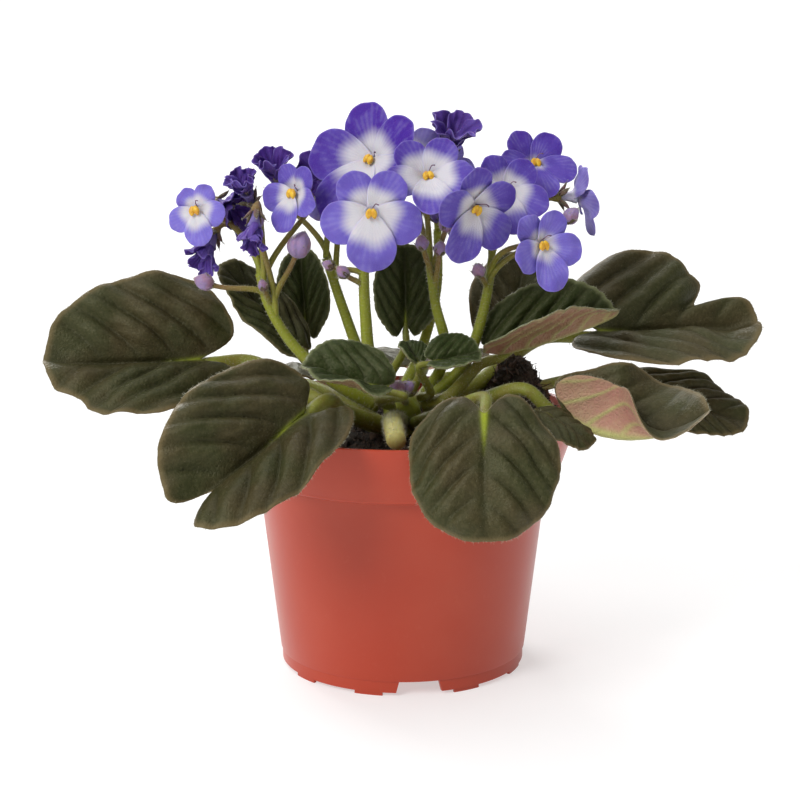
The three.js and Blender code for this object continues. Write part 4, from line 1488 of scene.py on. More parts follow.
@dataclass
class PottingMix:
    """Dark potting mix: a rough surface with crumbs, bark chips and fibres on it."""

    pot: PotSizes
    sizes: MixSizes = MixSizes()
    seed: int = 3

    def __post_init__(self) -> None:
        """Draws the waves of its surface."""
        self.draw = np.random.default_rng(self.seed)
        self.waves = [(unit(self.draw.normal(size=2)) * 2 * np.pi / self.draw.uniform(3, 16),
                       self.draw.uniform(0, 6.28)) for _ in range(self.sizes.waves)]

    def height(self, flat: Array) -> Array:
        """Height of the surface at places in the plane.

        Args:
            flat: Rows of x and y in millimetres.

        Returns:
            Heights in millimetres.
        """
        sizes = self.sizes
        away = np.hypot(flat[:, 0] - sizes.heap[0], flat[:, 1] - sizes.heap[1])
        rough = sum(np.sin(flat @ wave + phase) for wave, phase in self.waves) / sizes.waves**0.5
        return sizes.top + sizes.heap[2] * bump(away, sizes.spread) + sizes.rough * rough

    def ground(self) -> Body:
        """The mix without its loose crumbs.

        Returns:
            One closed body, finely uneven on top.
        """
        pot, sizes = self.pot, self.sizes
        clear = pot.wall + sizes.gap
        shoulder = pot.collar_bottom + pot.wall
        slope = (pot.rim_radius - pot.collar_radius) / (pot.height - pot.collar_bottom)
        edge = pot.collar_radius - clear + slope * (sizes.top - 1.5 - shoulder)
        rows = [(pot.base_radius - clear, pot.skirt_top + clear),
                (pot.body_radius - clear, shoulder - pot.shoulder),
                (pot.collar_radius - clear, shoulder)]
        rows += [(radius, 0.0) for radius in np.linspace(edge, 0.6, sizes.rings)]
        rings = turned(rows, sizes.sides)
        for ring in rings[3:]:
            ring[:, 2] = self.height(ring[:, :2])
        return rings_body(rings)

    def spots(self, count: int) -> Array:
        """Random places on the surface, a third of them on and round the heap.

        Args:
            count: How many.

        Returns:
            Rows of three numbers in millimetres.
        """
        radius = self.pot.rim_radius - 5.5
        near = count // 3
        angle = self.draw.uniform(0, 2 * np.pi, count - near)
        wide = radius * np.sqrt(self.draw.random(count - near))
        flat = np.column_stack([wide * np.cos(angle), wide * np.sin(angle)])
        heap = self.draw.normal(self.sizes.heap[:2], 0.62 * self.sizes.spread, (near, 2))
        over = np.maximum(1, np.linalg.norm(heap, axis=1) / radius)[:, None]
        flat = np.vstack([flat, heap / over])
        return np.column_stack([flat, self.height(flat)])

    def grit(self, count: int, low: float, high: float, flat: float) -> Body:
        """Irregular crumbs that lie on the surface.

        Args:
            count: How many.
            low: Smallest half size in millimetres.
            high: Largest half size.
            flat: How flat they are, from 0 to 1.

        Returns:
            The crumbs as one body, each with its shade marked.
        """
        middles = self.spots(count)
        tips = np.array([(1, 0, 0), (-1, 0, 0), (0, 1, 0), (0, -1, 0), (0, 0, 1), (0, 0, -1)], float)
        corners = [(0, 2, 4), (2, 1, 4), (1, 3, 4), (3, 0, 4), (2, 0, 5), (1, 2, 5), (3, 1, 5), (0, 3, 5)]
        size = low + (high - low) * self.draw.random(count) ** 2.2
        turn = self.draw.normal(size=(count, 3, 3))
        axes = np.linalg.qr(turn)[0]
        axes *= np.sign(np.linalg.det(axes))[:, None, None]
        stretch = self.draw.uniform(0.6, 1.25, (count, 6, 1)) * tips * np.array([1.3, 0.9, 1 - flat])
        points = middles[:, None, :] + size[:, None, None] * np.einsum("nij,nkj->nki", axes, stretch)
        faces = [tuple(6 * i + j for j in corner) for i in range(count) for corner in corners]
        shade = np.repeat(self.draw.random(count), 6)
        return Body(points.reshape(-1, 3), faces, [0] * len(faces), {"shade": shade})

    def strands(self) -> Body:
        """Thin bent fibres that lie on and stick out of the surface.

        Returns:
            The fibres.
        """
        sizes, made = self.sizes, []
        for middle in self.spots(sizes.fibres):
            way = unit(self.draw.normal(size=3) * [1, 1, 0.45]) * self.draw.uniform(*sizes.fibre_half)
            bow = self.draw.normal(size=3) * sizes.fibre_bow
            end = middle + way + [0, 0, self.draw.uniform(0, sizes.fibre_rise)]
            course = Course.through([middle - way, middle + bow, end], 8)
            thin = self.draw.uniform(*sizes.fibre_radius)
            made.append(tube(course, lambda u: thin * (1 - 0.6 * u), 7, 5))
        body = joined(made)
        body.marks = {"shade": np.full(len(body.points), 0.5)}
        return body

    def build(self, paints: Finishes) -> None:
        """Makes the mix, with everything that lies on it.

        Args:
            paints: The materials.
        """
        sizes = self.sizes
        piece("mix_ground", self.ground(), (paints.soil,), "mix", "potting_mix")
        grit = piece("mix_crumbs", self.grit(*sizes.crumbs), (paints.soil,), "mix")
        chips = piece("mix_chips", self.grit(*sizes.chips), (paints.bark,), "mix")
        for one in (grit, chips):
            one.data.polygons.foreach_set("use_smooth", [False] * len(one.data.polygons))
        piece("mix_fibres", self.strands(), (paints.bark,), "mix")


# ---------------------------------------------------------------- shaders


class Effect(Enum):
    """Effects that several finishes share, each a node group."""

    MOTTLE = "mottle"
    GRAIN = "grain"
    CELLS = "cells"


class Nodes:
    """Adds shader nodes to one tree."""

    def __init__(self, tree: bpy.types.NodeTree) -> None:
        """Keeps the tree."""
        self.tree = tree

    def add(self, kind: str, inputs: Inputs | None = None, **settings: object) -> bpy.types.Node:
        """Adds a node and fills its inputs with numbers, colours or links.

        Args:
            kind: Its type, without the leading ShaderNode.
            inputs: What goes into its inputs, by name or number.
            settings: Its other properties.

        Returns:
            The node.
        """
        made = self.tree.nodes.new("ShaderNode" + kind)
        for name, value in settings.items():
            setattr(made, name, value)
        for name, value in (inputs or {}).items():
            socket = made.inputs[name]
            if isinstance(value, Socket):
                self.tree.links.new(value, socket)
            elif isinstance(value, tuple) and socket.type == "RGBA":
                socket.default_value = (*value, 1.0)
            else:
                socket.default_value = value
        return made

    def maths(self, operation: str, a: Value, b: Value, clamp: bool = False) -> Socket:
        """One step of arithmetic, kept from 0 to 1 if it is clamped."""
        return self.add("Math", {0: a, 1: b}, operation=operation, use_clamp=clamp).outputs[0]

    def times(self, a: Value, b: Value) -> Socket:
        """Product of two values."""
        return self.maths("MULTIPLY", a, b)

    def eased(self, value: Value, low: Value, high: Value) -> Socket:
        """Eased step from 0 at low to 1 at high."""
        inputs: Inputs = {"Value": value, "From Min": low, "From Max": high}
        return self.add("MapRange", inputs, interpolation_type="SMOOTHSTEP").outputs["Result"]

    def mix(self, share: Value, a: Value, b: Value) -> Socket:
        """Colour between a and b, with the given share of b."""
        return self.add("Mix", {0: share, 6: a, 7: b}, data_type="RGBA").outputs[2]


class Shared(Nodes):
    """A node group with number sockets that several materials share."""

    def __init__(self, which: Effect, **inputs: float) -> None:
        """Starts the group of an effect.

        Args:
            which: The effect.
            inputs: Its inputs and their usual values.
        """
        super().__init__(bpy.data.node_groups.new(which.value, "ShaderNodeTree"))
        for label, value in inputs.items():
            socket = self.tree.interface.new_socket(label, in_out="INPUT", socket_type="NodeSocketFloat")
            socket.default_value = value
        self.given = self.tree.nodes.new("NodeGroupInput").outputs
        self.where = self.add("TexCoord").outputs["Object"]

    def ended(self, **outputs: Socket) -> bpy.types.NodeTree:
        """Ends the group.

        Args:
            outputs: What it puts out, by name.

        Returns:
            The group.
        """
        for label in outputs:
            self.tree.interface.new_socket(label, in_out="OUTPUT", socket_type="NodeSocketFloat")
        out = self.tree.nodes.new("NodeGroupOutput")
        for label, value in outputs.items():
            self.tree.links.new(value, out.inputs[label])
        return self.tree


def mottle_group() -> bpy.types.NodeTree:
    """Cloudy mask between two limits of a noise.

    Returns:
        The group.
    """
    made = Shared(Effect.MOTTLE, Scale=100.0, Low=0.35, High=0.65)
    given = made.given
    noise = made.add("TexNoise", {"Vector": made.where, "Scale": given["Scale"], "Detail": 4.0})
    return made.ended(Mask=made.eased(noise.outputs["Fac"], given["Low"], given["High"]))


def grain_group() -> bpy.types.NodeTree:
    """Fine even roughness, as a height.

    Returns:
        The group.
    """
    made = Shared(Effect.GRAIN, Scale=1500.0, Detail=3.0)
    given = made.given
    inputs = {"Vector": made.where, "Scale": given["Scale"], "Detail": given["Detail"], "Roughness": 0.6}
    return made.ended(Height=made.add("TexNoise", inputs).outputs["Fac"])


def cells_group() -> bpy.types.NodeTree:
    """Small rounded cells, as a height and as a mask of the lines between them.

    Returns:
        The group.
    """
    made = Shared(Effect.CELLS, Scale=500.0, Warp=0.0006)
    noise = made.add("TexNoise", {"Vector": made.where, "Scale": 180.0, "Detail": 2.0}).outputs["Color"]
    pushed = made.add("VectorMath", {0: noise, 1: made.given["Warp"]}, operation="MULTIPLY").outputs[0]
    moved = made.add("VectorMath", {0: made.where, 1: pushed}, operation="ADD").outputs[0]
    inputs = {"Vector": moved, "Scale": made.given["Scale"]}
    inside = made.add("TexVoronoi", inputs, feature="DISTANCE_TO_EDGE").outputs["Distance"]
    return made.ended(Height=made.eased(inside, 0.0, 0.35), Lines=made.eased(inside, 0.12, 0.0))


MAKERS = {Effect.MOTTLE: mottle_group, Effect.GRAIN: grain_group, Effect.CELLS: cells_group}


class Dressing(Nodes):
    """Starts a material and ends it in one Principled shader."""

    def __init__(self, name: str) -> None:
        """Starts an empty material.

        Args:
            name: Its name.
        """
        self.material = bpy.data.materials.new(name)
        self.material.use_nodes = True
        super().__init__(self.material.node_tree)
        self.tree.nodes.clear()

    def effect(self, which: Effect, **values: float) -> bpy.types.NodeOutputs:
        """Places a shared effect.

        Args:
            which: The effect.
            values: Its inputs by name.

        Returns:
            Its outputs.
        """
        made = self.tree.nodes.new("ShaderNodeGroup")
        made.node_tree = bpy.data.node_groups.get(which.value) or MAKERS[which]()
        for name, value in values.items():
            made.inputs[name].default_value = value
        return made.outputs

    def mottle(self, scale: float, low: float, high: float) -> Socket:
        """Cloudy mask between two limits of a noise."""
        return self.effect(Effect.MOTTLE, Scale=scale, Low=low, High=high)["Mask"]

    def grain(self, scale: float, detail: float) -> Socket:
        """Fine even roughness, as a height."""
        return self.effect(Effect.GRAIN, Scale=scale, Detail=detail)["Height"]

    def mark(self, name: str) -> Socket:
        """Measure that the mesh carries at each point."""
        return self.add("Attribute", attribute_name=name).outputs["Fac"]

    def over(self, colour: Value, mask: Value, share: float, other: Value) -> Socket:
        """Colour with a share of another one laid over it where a mask is set."""
        return self.mix(self.times(mask, share), colour, other)

    def bump(self, height: Value, depth: float, **under: Socket) -> Socket:
        """Normal from a height whose 1 stands for a depth in metres, on top of another Normal if given."""
        inputs: Inputs = {"Height": height, "Distance": depth, "Strength": 1.0, **under}
        return self.add("Bump", inputs).outputs["Normal"]

    def finish(self, colour: Value, roughness: Value, normal: Socket | None = None, **fixed: Value) -> Paint:
        """Ends the material.

        Args:
            colour: Base colour.
            roughness: Roughness.
            normal: Normal, if it has relief.
            fixed: Other inputs, with _ for spaces in their names.

        Returns:
            The material.
        """
        inputs: Inputs = {"Base Color": colour, "Roughness": roughness}
        if normal is not None:
            inputs["Normal"] = normal
        inputs.update({name.replace("_", " "): value for name, value in fixed.items()})
        shader = self.add("BsdfPrincipled", inputs)
        out = self.add("OutputMaterial")
        self.tree.links.new(shader.outputs[0], out.inputs["Surface"])
        return self.material


@dataclass(frozen=True)
class PotPlastic:
    """Moulded plastic, a little paler where it is scuffed."""

    name: str
    colour: Colour
    worn: Colour
    roughness: float
    scuffed: float = 0.1  # how much rougher it is there

    def material(self) -> Paint:
        """Makes its material.

        Returns:
            The material.
        """
        made = Dressing(self.name)
        cloud = made.mottle(28.0, 0.42, 0.75)
        colour = made.over(self.colour, cloud, 0.35, self.worn)
        colour = made.over(colour, made.mottle(420.0, 0.6, 0.75), 0.18, self.worn)
        rough = made.maths("ADD", self.roughness, made.times(cloud, self.scuffed))
        return made.finish(colour, rough, made.bump(made.grain(2600.0, 3.0), 0.00002), Subsurface_Weight=0.06,
                           Subsurface_Scale=0.002, Specular_IOR_Level=0.4)


@dataclass(frozen=True)
class LeafFace:
    """One face of the leaves: velvety, with veins and fine cells. On the upper face the veins' creases and
    the lines between the cells are darkened with painted shade, and on both faces fine speckles of the
    sheen's tint are painted in as sheen.
    """

    name: str
    colour: Colour
    other: Colour
    # painted shade on the upper face, darkening its veins' creases and its cells' lines; the pale veins' own
    # colour on the under face
    vein: Colour
    rib: Colour
    rim: Colour
    vein_and_crease_shade_share: float
    rib_share: float
    sheen: float
    sheen_tint: Colour
    relief: float
    young: Colour
    young_share: float
    young_rim: Colour = (0.24, 0.27, 0.13)
    gloss: Colour = (1.0, 0.95, 0.68)

    def material(self) -> Paint:
        """Makes its material.

        Returns:
            The material.
        """
        made = Dressing(self.name)
        young = made.mark("young")
        cells = made.effect(Effect.CELLS, Scale=760.0, Warp=0.0012)
        colour = made.mix(made.mottle(55.0, 0.36, 0.66), self.colour, self.other)
        colour = made.over(colour, young, self.young_share, self.young)
        # painted sheen: fine speckles of the sheen's tint laid into the base colour
        colour = made.over(colour, made.mottle(900.0, 0.4, 0.72), 0.07, self.sheen_tint)
        # painted shade on the upper face: the lines between the cells take the dark third colour; on the
        # under face they take the pale vein colour
        colour = made.over(colour, cells["Lines"], 0.1, self.vein)
        # painted shade on the upper face: the veins' creases are darkened; on the under face the veins take
        # their own pale colour
        colour = made.over(colour, made.mark("vein"), self.vein_and_crease_shade_share, self.vein)
        colour = made.over(colour, made.mark("rib"), self.rib_share, self.rib)
        edge = made.eased(made.mark("reach"), 0.93, 1.0)
        colour = made.over(colour, edge, 0.6, made.mix(young, self.rim, self.young_rim))
        normal = made.bump(cells["Height"], self.relief)
        normal = made.bump(made.grain(2400.0, 4.0), 0.00016, Normal=normal)
        return made.finish(colour, 0.42, normal, Sheen_Weight=self.sheen, Sheen_Roughness=0.38,
                           Sheen_Tint=self.sheen_tint, Specular_IOR_Level=0.27, Specular_Tint=self.gloss)


@dataclass(frozen=True)
class StemSkin:
    """Fleshy stem whose colour turns along its length."""

    name: str
    low: Colour
    high: Colour
    flush: Colour
    down: Colour = (0.5, 0.5, 0.22)

    def material(self) -> Paint:
        """Makes its material.

        Returns:
            The material.
        """
        made = Dressing(self.name)
        colour = made.mix(made.eased(made.mark("along"), 0.1, 1.0), self.low, self.high)
        colour = made.over(colour, made.mottle(130.0, 0.42, 0.7), 0.5, self.flush)
        colour = made.over(colour, made.mottle(1300.0, 0.45, 0.7), 0.12, self.down)
        return made.finish(colour, 0.42, made.bump(made.grain(1900.0, 3.0), 0.00018),
                           Subsurface_Weight=0.12, Subsurface_Scale=0.0015, Sheen_Weight=0.05,
                           Sheen_Roughness=0.4, Specular_IOR_Level=0.25)


@dataclass(frozen=True)
class PetalSkin:
    """Petals: white round the throat, violet outwards, with fine streaks, pale speckles painted in as the
    glints of their cells, and brownish painted shade at the throat.
    """

    name: str
    white: Colour
    lilac: Colour
    violet: Colour
    spent: Colour
    # painted shade: a brownish darkening round the throat, near the anthers
    throat: Colour
    painted_glint: Colour = (0.6, 0.56, 0.8)
    rim: Colour = (0.36, 0.32, 0.7)
    streaks: float = 46.0  # fine streaks in a full turn round the throat

    def material(self) -> Paint:
        """Makes its material.

        Returns:
            The material.
        """
        made = Dressing(self.name)
        wave = made.maths("SINE", made.times(made.mark("streak"), self.streaks), 0.0)
        soft = made.maths("SUBTRACT", made.mottle(210.0, 0.3, 0.7), 0.5)
        share = made.maths("ADD", made.mark("violet"), made.times(wave, 0.035))
        share = made.maths("ADD", share, made.times(soft, 0.1), True)
        deep = made.maths("ADD", made.mark("deep"), made.times(soft, 0.2), True)
        colour = made.mix(share, self.white, made.mix(deep, self.lilac, self.violet))
        colour = made.mix(made.mark("spent"), colour, self.spent)
        # painted glint: fine pale speckles laid into the colour
        colour = made.over(colour, made.mottle(2100.0, 0.5, 0.72), 0.03, self.painted_glint)
        colour = made.over(colour, made.mark("rim"), 0.25, self.rim)
        # painted shade: a brownish darkening round the throat, near the anthers
        colour = made.over(colour, made.eased(made.mark("reach"), 0.15, 0.04), 0.55, self.throat)
        height = made.maths("ADD", made.grain(2600.0, 4.0), made.times(wave, 0.07))
        return made.finish(colour, 0.55, made.bump(height, 0.00016), Subsurface_Weight=0.12,
                           Subsurface_Scale=0.001, Specular_IOR_Level=0.15)


@dataclass(frozen=True)
class PlainSkin:
    """Small pieces of one colour with a second one in patches."""

    name: str
    colour: Colour
    other: Colour
    scale: float
    roughness: float
    depth: float
    sheen: float = 0.0
    soft: float = 0.0

    def material(self) -> Paint:
        """Makes its material.

        Returns:
            The material.
        """
        made = Dressing(self.name)
        colour = made.mix(made.mottle(self.scale, 0.38, 0.66), self.colour, self.other)
        normal = made.bump(made.grain(3 * self.scale, 4.0), self.depth)
        return made.finish(colour, self.roughness, normal, Sheen_Weight=self.sheen,
                           Subsurface_Weight=self.soft, Subsurface_Scale=0.001)


@dataclass(frozen=True)
class MixSkin:
    """Dark crumbs of potting mix, each of its own shade."""

    name: str
    dark: Colour
    light: Colour

    def material(self) -> Paint:
        """Makes its material.

        Returns:
            The material.
        """
        made = Dressing(self.name)
        shade = made.times(made.maths("POWER", made.mark("shade"), 2.2), 0.6)
        share = made.maths("ADD", made.times(made.mottle(330.0, 0.35, 0.7), 0.35), shade, True)
        normal = made.bump(made.grain(900.0, 6.0), 0.0007)
        return made.finish(made.mix(share, self.dark, self.light), 0.85, normal)


SKINS = {
    "pot": PotPlastic("pot_plastic", (0.41, 0.042, 0.014), (0.46, 0.075, 0.036), 0.3),
    "soil": MixSkin("soil", (0.012, 0.008, 0.005), (0.07, 0.045, 0.028)),
    "bark": MixSkin("bark", (0.03, 0.016, 0.009), (0.13, 0.07, 0.038)),
    # The upper face's third colour is painted shade for its veins' creases and its cells' lines.
    "leaf_upper": LeafFace("leaf_upper", (0.034, 0.037, 0.012), (0.048, 0.038, 0.015), (0.014, 0.015, 0.004),
                           (0.3, 0.36, 0.02), (0.18, 0.13, 0.06), 0.5, 0.92, 0.05, (0.3, 0.25, 0.13), 0.00006,
                           (0.02, 0.038, 0.006), 0.9),
    "leaf_under": LeafFace("leaf_under", (0.44, 0.31, 0.18), (0.4, 0.19, 0.15), (0.4, 0.42, 0.15),
                           (0.42, 0.44, 0.15), (0.34, 0.22, 0.14), 0.95, 0.8, 0.1, (0.6, 0.5, 0.42), 0.00015,
                           (0.24, 0.12, 0.06), 0.6),
    "leaf_stem": StemSkin("leaf_stem", (0.2, 0.21, 0.022), (0.21, 0.23, 0.035), (0.17, 0.12, 0.025)),
    "flower_stem": StemSkin("flower_stem", (0.25, 0.28, 0.022), (0.21, 0.13, 0.05), (0.19, 0.2, 0.02)),
    "cut_stem": StemSkin("cut_stem", (0.28, 0.31, 0.09), (0.44, 0.4, 0.13), (0.26, 0.24, 0.07)),
    # The petals' last colour is painted shade round the throat.
    "petal": PetalSkin("petal_skin", (0.63, 0.61, 0.65), (0.21, 0.17, 0.6), (0.058, 0.016, 0.28),
                       (0.085, 0.036, 0.23), (0.42, 0.33, 0.13)),
    "sepal": PlainSkin("sepal", (0.09, 0.07, 0.025), (0.13, 0.055, 0.045), 400.0, 0.6, 0.0003, 0.2),
    "bud": PlainSkin("bud_skin", (0.28, 0.19, 0.38), (0.3, 0.15, 0.24), 260.0, 0.5, 0.0002, 0.25, 0.15),
    "anther": PlainSkin("anther", (0.8, 0.5, 0.03), (0.62, 0.3, 0.015), 700.0, 0.42, 0.0001, 0.0, 0.1),
    "style": PlainSkin("style", (0.1, 0.04, 0.09), (0.2, 0.1, 0.18), 600.0, 0.4, 0.00005, 0.0, 0.1),
    "fuzz": PlainSkin("fuzz", (0.5, 0.49, 0.36), (0.4, 0.38, 0.26), 300.0, 0.55, 0.00001),
    "leaf_fuzz": PlainSkin("leaf_fuzz", (0.12, 0.11, 0.06), (0.18, 0.165, 0.1), 300.0, 0.6, 0.00001),
}


# ---------------------------------------------------------------- the plant's own leaves and flowers


LEAVES = (
    Leaf("leaf_left_far", 180, 82, (-65.3, 12, 102.1), 190, 1, -54, 66, 59, 8, (34, 20), (-14, -14), 1.2,
         phase=1, back=0.13, bites=((0.74, 0.22, 0.14), (-2.2, 0.5, -0.13))),
    Leaf("leaf_left_front", 220, 83, (-31.5, -52, 96.2), 230, -20, -46, 67, 56, 30, (38, 12), (-12, -16), 1,
         back=0.2, bites=((0.02, 0.14, 0.4), (1.65, 0.7, 0.24))),
    Leaf("leaf_front", 300, 84, (25, -60.6, 98.5), 268, -52, 0, 50, 48, 30, (-8, -8), (-14, -14), 0.6,
         ruffles=5, phase=0.5, back=0.2, tuck=12),
    Leaf("leaf_right_back", 24, 86, (61.2, 20, 110), 6, 2, 34, 71, 63, 2, (24, 24), (-8, -6), 0.8,
         phase=2, back=0.1, bites=((0.62, 0.17, 0.42), (0.95, 0.42, 0.2))),
    Leaf("leaf_right_folded_up", 330, 90, (32, -4, 107), 2, 18, 14, 48, 38, 0, (58, 44), (4, 4), 0.4,
         back=0.12, young=0.8),
    Leaf("leaf_right_folded_low", 345, 84, (48.5, -20, 93.2), 350, -38, 10, 64, 48, -88, (64, 100), (-8, -14),
         0.8, phase=1, back=0.1, fold_tip=(36, 16), opens=(0.3, 0.7), bites=((-1.75, 0.5, 0.3),)),
    Leaf("leaf_right_low", 8, 80, (83, 24, 89.5), 350, -14, 30, 46, 31, 6, (6, 6), (-8, -8), 0.8, back=0.14),
    Leaf("leaf_under_right", 318, 80, (44, -31, 93.4), 338, -10, 4, 25, 24, 44, (-8, -8), (-10, -10), 0.8,
         back=0.16),
    Leaf("leaf_young_left", 244, 90, (-6, -36.5, 102), 176, 14, -38, 31, 28, -4, (30, 10), (24, 6), 0.6,
         ruffles=5, back=0.12, young=0.9),
    Leaf("leaf_young_right", 312, 93, (9, -17, 107), 8, 10, 34, 19, 18, 0, (16, 16), (10, 16), 0.3,
         back=0.1, young=1.0),
    Leaf("leaf_young_centre", 286, 95, (5, -11, 106), 120, 34, 0, 11, 11, 0, (16, 16), (16, 16), 0.3,
         back=0.1, young=1.0),
    Leaf("leaf_centre_back", 112, 90, (1, 14, 112), 92, 66, 0, 34, 23, -10, (12, 12), (8, 8), 0.4,
         back=0.1, young=0.7),
    Leaf("leaf_back_left_inner", 136, 88, (-34, 26, 109), 100, 66, -10, 34, 20, -8, (16, 16), (10, 10), 0.4,
         back=0.1, young=0.7),
    Leaf("leaf_back_left", 162, 88, (-36, 13, 106), 170, 48, -36, 44, 21, 4, (8, 8), (8, 8), 0.6,
         back=0.1, young=0.3),
    Leaf("leaf_back_right_inner", 56, 88, (38, 40, 103), 70, 54, 12, 42, 36, 0, (14, 14), (10, 10), 0.6,
         back=0.14),
    Leaf("leaf_back", 94, 82, (7, 50, 94), 90, -2, 0, 53, 52, 30, (6, 6), (-8, -8), 1),
    Leaf("leaf_back_left_low", 140, 80, (-43, 38, 90.5), 140, -4, 4, 54, 48, 28, (6, 6), (-8, -8), 1,
         phase=2),
)

STALKS = (
    FlowerStalk(
        "flower_stalk_left", 2.1,
        ((-10, -3.5, 90), (-22, -8, 98), (-36, -6, 110), (-45, -3, 124), (-48, 0, 134)),
        (Bud((-70, -6, 133.5), 7), Bud((-47, -8, 133.5), 4), Bud((-32, -8, 150), 9.5),
         Bud((-49, -6, 157), 6.5)),
        (
            Bloom((-68, 0, 155), -18, 8, 12, 22, 14, pale=0.5, deep=0.05),
            Bloom((-60, 16, 155), 50, -14, 0, 25, 36, Stage.FADED, pale=0.05, deep=0.9),
            Bloom((-52, 6, 160), -20, 44, 0, 22, 50, Stage.FADED, pale=0.05, deep=0.55),
            Bloom((-34.5, -5, 161), -38, 10, -4, 26, 26, pale=0.46, deep=0.4),
            Bloom((-48.5, -12, 152), -10, -64, 0, 20, 54, Stage.FADED, pale=0.05, deep=0.5),
            Bloom((-65, 8, 143), -30, -50, 0, 22, 46, Stage.FADED, pale=0.05, deep=0.7),
        ),
    ),
    FlowerStalk(
        "flower_stalk_centre", 2.3,
        ((-2, -9.5, 94), (-10, -8, 104), (-12.5, -6, 122), (-13, -6, 140)),
        (Bud((-27, -8, 139), 4), Bud((-22, -10, 138), 5)),
        (
            Bloom((-9.5, 1, 171), -34, 22, -18, 48, 24, pale=0.42, deep=0.8),
            Bloom((-10, -27.5, 157.5), 0, 2, 0, 35, 8, pale=0.5, deep=0.3),
        ),
    ),
    FlowerStalk(
        "flower_stalk_left_back", 2.1,
        ((-7, 7.5, 92), (-14, 7, 104), (-20, 8, 120), (-26, 9, 138)),
        (),
        (
            Bloom((-27, 12, 164), -20, 16, 0, 26, 34, Stage.FADED, pale=0.1, deep=0.8),
            Bloom((-42, 9, 164), -16, 50, 0, 28, 52, Stage.FADED, pale=0.05, deep=0.8),
            Bloom((-26, 30, 160), 200, 20, 0, 27, 16),
        ),
    ),
    FlowerStalk(
        "flower_stalk_right", 2.1,
        ((8, 6, 92), (13, 0, 102), (14, -4, 112), (11, -5, 124), (9, -5, 138)),
        (Bud((15.5, -12, 156.5), 7), Bud((5.5, -13, 149), 5.5), Bud((12.5, -13, 147), 5)),
        (
            Bloom((8, -15, 166.5), 4, 34, 4, 35, 33, pale=0.58, deep=0.6),
            Bloom((11, 6, 153), 40, -10, 0, 22, 54, Stage.FADED, pale=0.1, deep=0.5),
        ),
    ),
    FlowerStalk(
        "flower_stalk_far_right", 2.1,
        ((11, -0.5, 93), (21, -3, 104), (27, -3.5, 122), (30, 2, 138)),
        (Bud((24, -10, 139), 5.5), Bud((59, 2, 156), 6.5)),
        (
            Bloom((22, -23, 159), 30, -14, -28, 35, 26, pale=0.44, deep=0.5),
            Bloom((33.5, -3, 161), 18, 22, -10, 32, 28, pale=0.5, deep=0.55),
            Bloom((44, 16, 168), 20, 34, -8, 32, 30, pale=0.2, deep=0.65),
            Bloom((57, 8, 159), 100, 2, 0, 28, 30, pale=0.2, deep=0.55),
            Bloom((43.5, -24, 146.5), 29, 6, 6, 30, 30, pale=0.36, deep=0.2),
        ),
    ),
    FlowerStalk(
        "flower_stalk_back", 2.0,
        ((0, 10.5, 92), (7, 20, 106), (12, 24, 126), (12, 22, 146)),
        (),
        (
            Bloom((4, 17, 170), 165, 32, 0, 32, 26, pale=0.5, deep=0.35),
            Bloom((16, 12, 175), 14, 50, 0, 30, 46, Stage.FADED, pale=0.1, deep=0.6),
            Bloom((12, 34, 166), 176, 24, 0, 29, 18),
        ),
    ),
)


# ---------------------------------------------------------------- studio


@dataclass(frozen=True)
class Lamp:
    """A broad soft light that falls alike on everything: where it comes from, its spread and its strength."""

    name: str
    at: Point
    spread: float
    strength: float

    def build(self) -> None:
        """Makes the light."""
        data = bpy.data.lights.new(self.name, "SUN")
        data.angle = math.radians(self.spread)
        data.energy = self.strength
        lamp = bpy.data.objects.new(self.name, data)
        lamp.location = self.at
        lamp.rotation_euler = (-Vector(self.at)).to_track_quat("-Z", "Y").to_euler()
        bpy.context.scene.collection.objects.link(lamp)


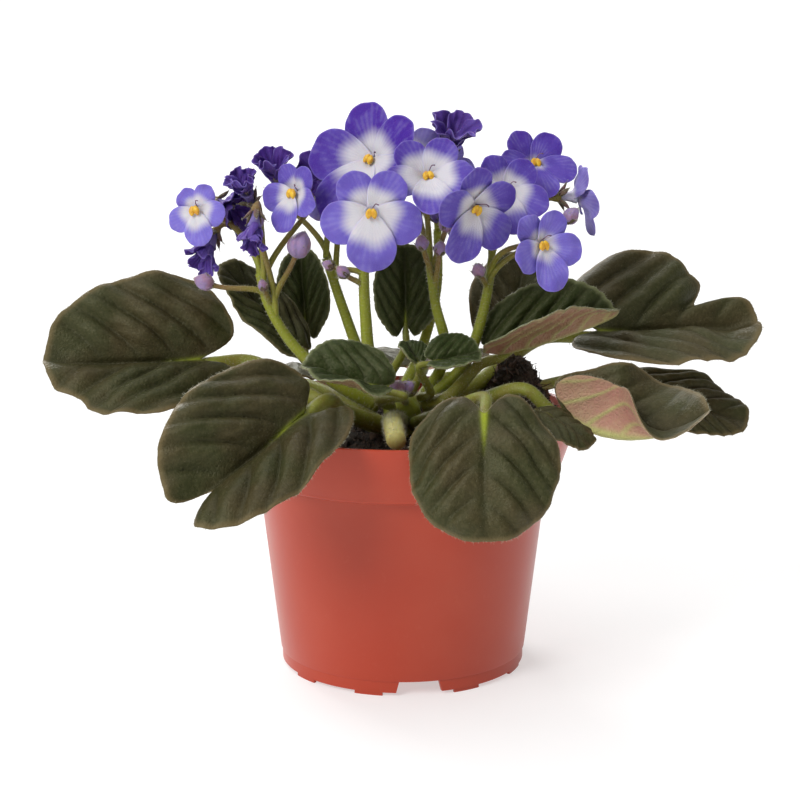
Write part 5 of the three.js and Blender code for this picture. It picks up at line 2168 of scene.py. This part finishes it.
@dataclass(frozen=True)
class Studio:
    """Pale floor, soft lights, white surroundings and the camera."""

    eye: Point = (-0.00093, -0.646, 0.2272)
    tilt: float = 11.93
    lens: float = 87.5
    floor: float = 6.0  # half its side
    backdrop: float = 1.1  # brightness of the surroundings as they are seen
    ambient: float = 0.28  # brightness of the light that they give
    glow: float = 0.5  # brightness of the floor's own soft light
    lamps: tuple[Lamp, ...] = (
        Lamp("front_box", (-0.75, -0.75, 0.8), 30.0, 2.2),
        Lamp("top_box", (0.1, 0.15, 1.0), 60.0, 1.1),
        Lamp("back_box", (-0.4, 0.8, 0.55), 30.0, 1.8),
    )

    def camera(self) -> None:
        """Makes the camera at the photograph's angle."""
        data = bpy.data.cameras.new("camera")
        data.lens = self.lens
        data.sensor_width = 36.0
        camera = bpy.data.objects.new("camera", data)
        camera.location = self.eye
        camera.rotation_euler = (math.radians(90 - self.tilt), 0, 0)
        bpy.context.scene.collection.objects.link(camera)
        bpy.context.scene.camera = camera

    def ground(self) -> None:
        """Makes the floor."""
        half = self.floor
        mesh = bpy.data.meshes.new("floor")
        corners = [(-half, -half, 0), (half, -half, 0), (half, half, 0), (-half, half, 0)]
        mesh.from_pydata(corners, [], [(0, 1, 2, 3)])
        made = Dressing("floor_paint")
        colour = made.mix(made.mottle(3.0, 0.2, 0.8), (0.5, 0.5, 0.5), (0.52, 0.52, 0.52))
        paint = made.finish(colour, 0.8, Emission_Color=(1.0, 1.0, 1.0), Emission_Strength=self.glow)
        mesh.materials.append(paint)
        floor = bpy.data.objects.new("floor", mesh)
        bpy.context.scene.collection.objects.link(floor)

    def surroundings(self) -> None:
        """Makes the white surroundings."""
        world = bpy.data.worlds.new("studio")
        world.use_nodes = True
        made = Nodes(world.node_tree)
        more = made.times(made.add("LightPath").outputs["Is Camera Ray"], self.backdrop - self.ambient)
        background = made.tree.nodes["Background"].inputs
        background["Color"].default_value = (1, 1, 1, 1)
        made.tree.links.new(made.maths("ADD", more, self.ambient), background["Strength"])
        bpy.context.scene.world = world
        bpy.context.scene.view_settings.view_transform = "Standard"

    def build(self) -> None:
        """Makes the whole studio."""
        self.camera()
        self.ground()
        self.surroundings()
        for lamp in self.lamps:
            lamp.build()


def main() -> None:
    """Builds the studio and every piece of the plant in order."""
    logging.basicConfig(level=logging.INFO, format="%(message)s")
    Studio().build()
    paints = Finishes(**{name: skin.material() for name, skin in SKINS.items()})
    pot = Pot()
    flowers = Flowers(STALKS)
    for part in (pot, PottingMix(pot.sizes), Foliage(LEAVES), flowers, Crown(flowers)):
        part.build(paints)


if __name__ == "__main__":
    main()
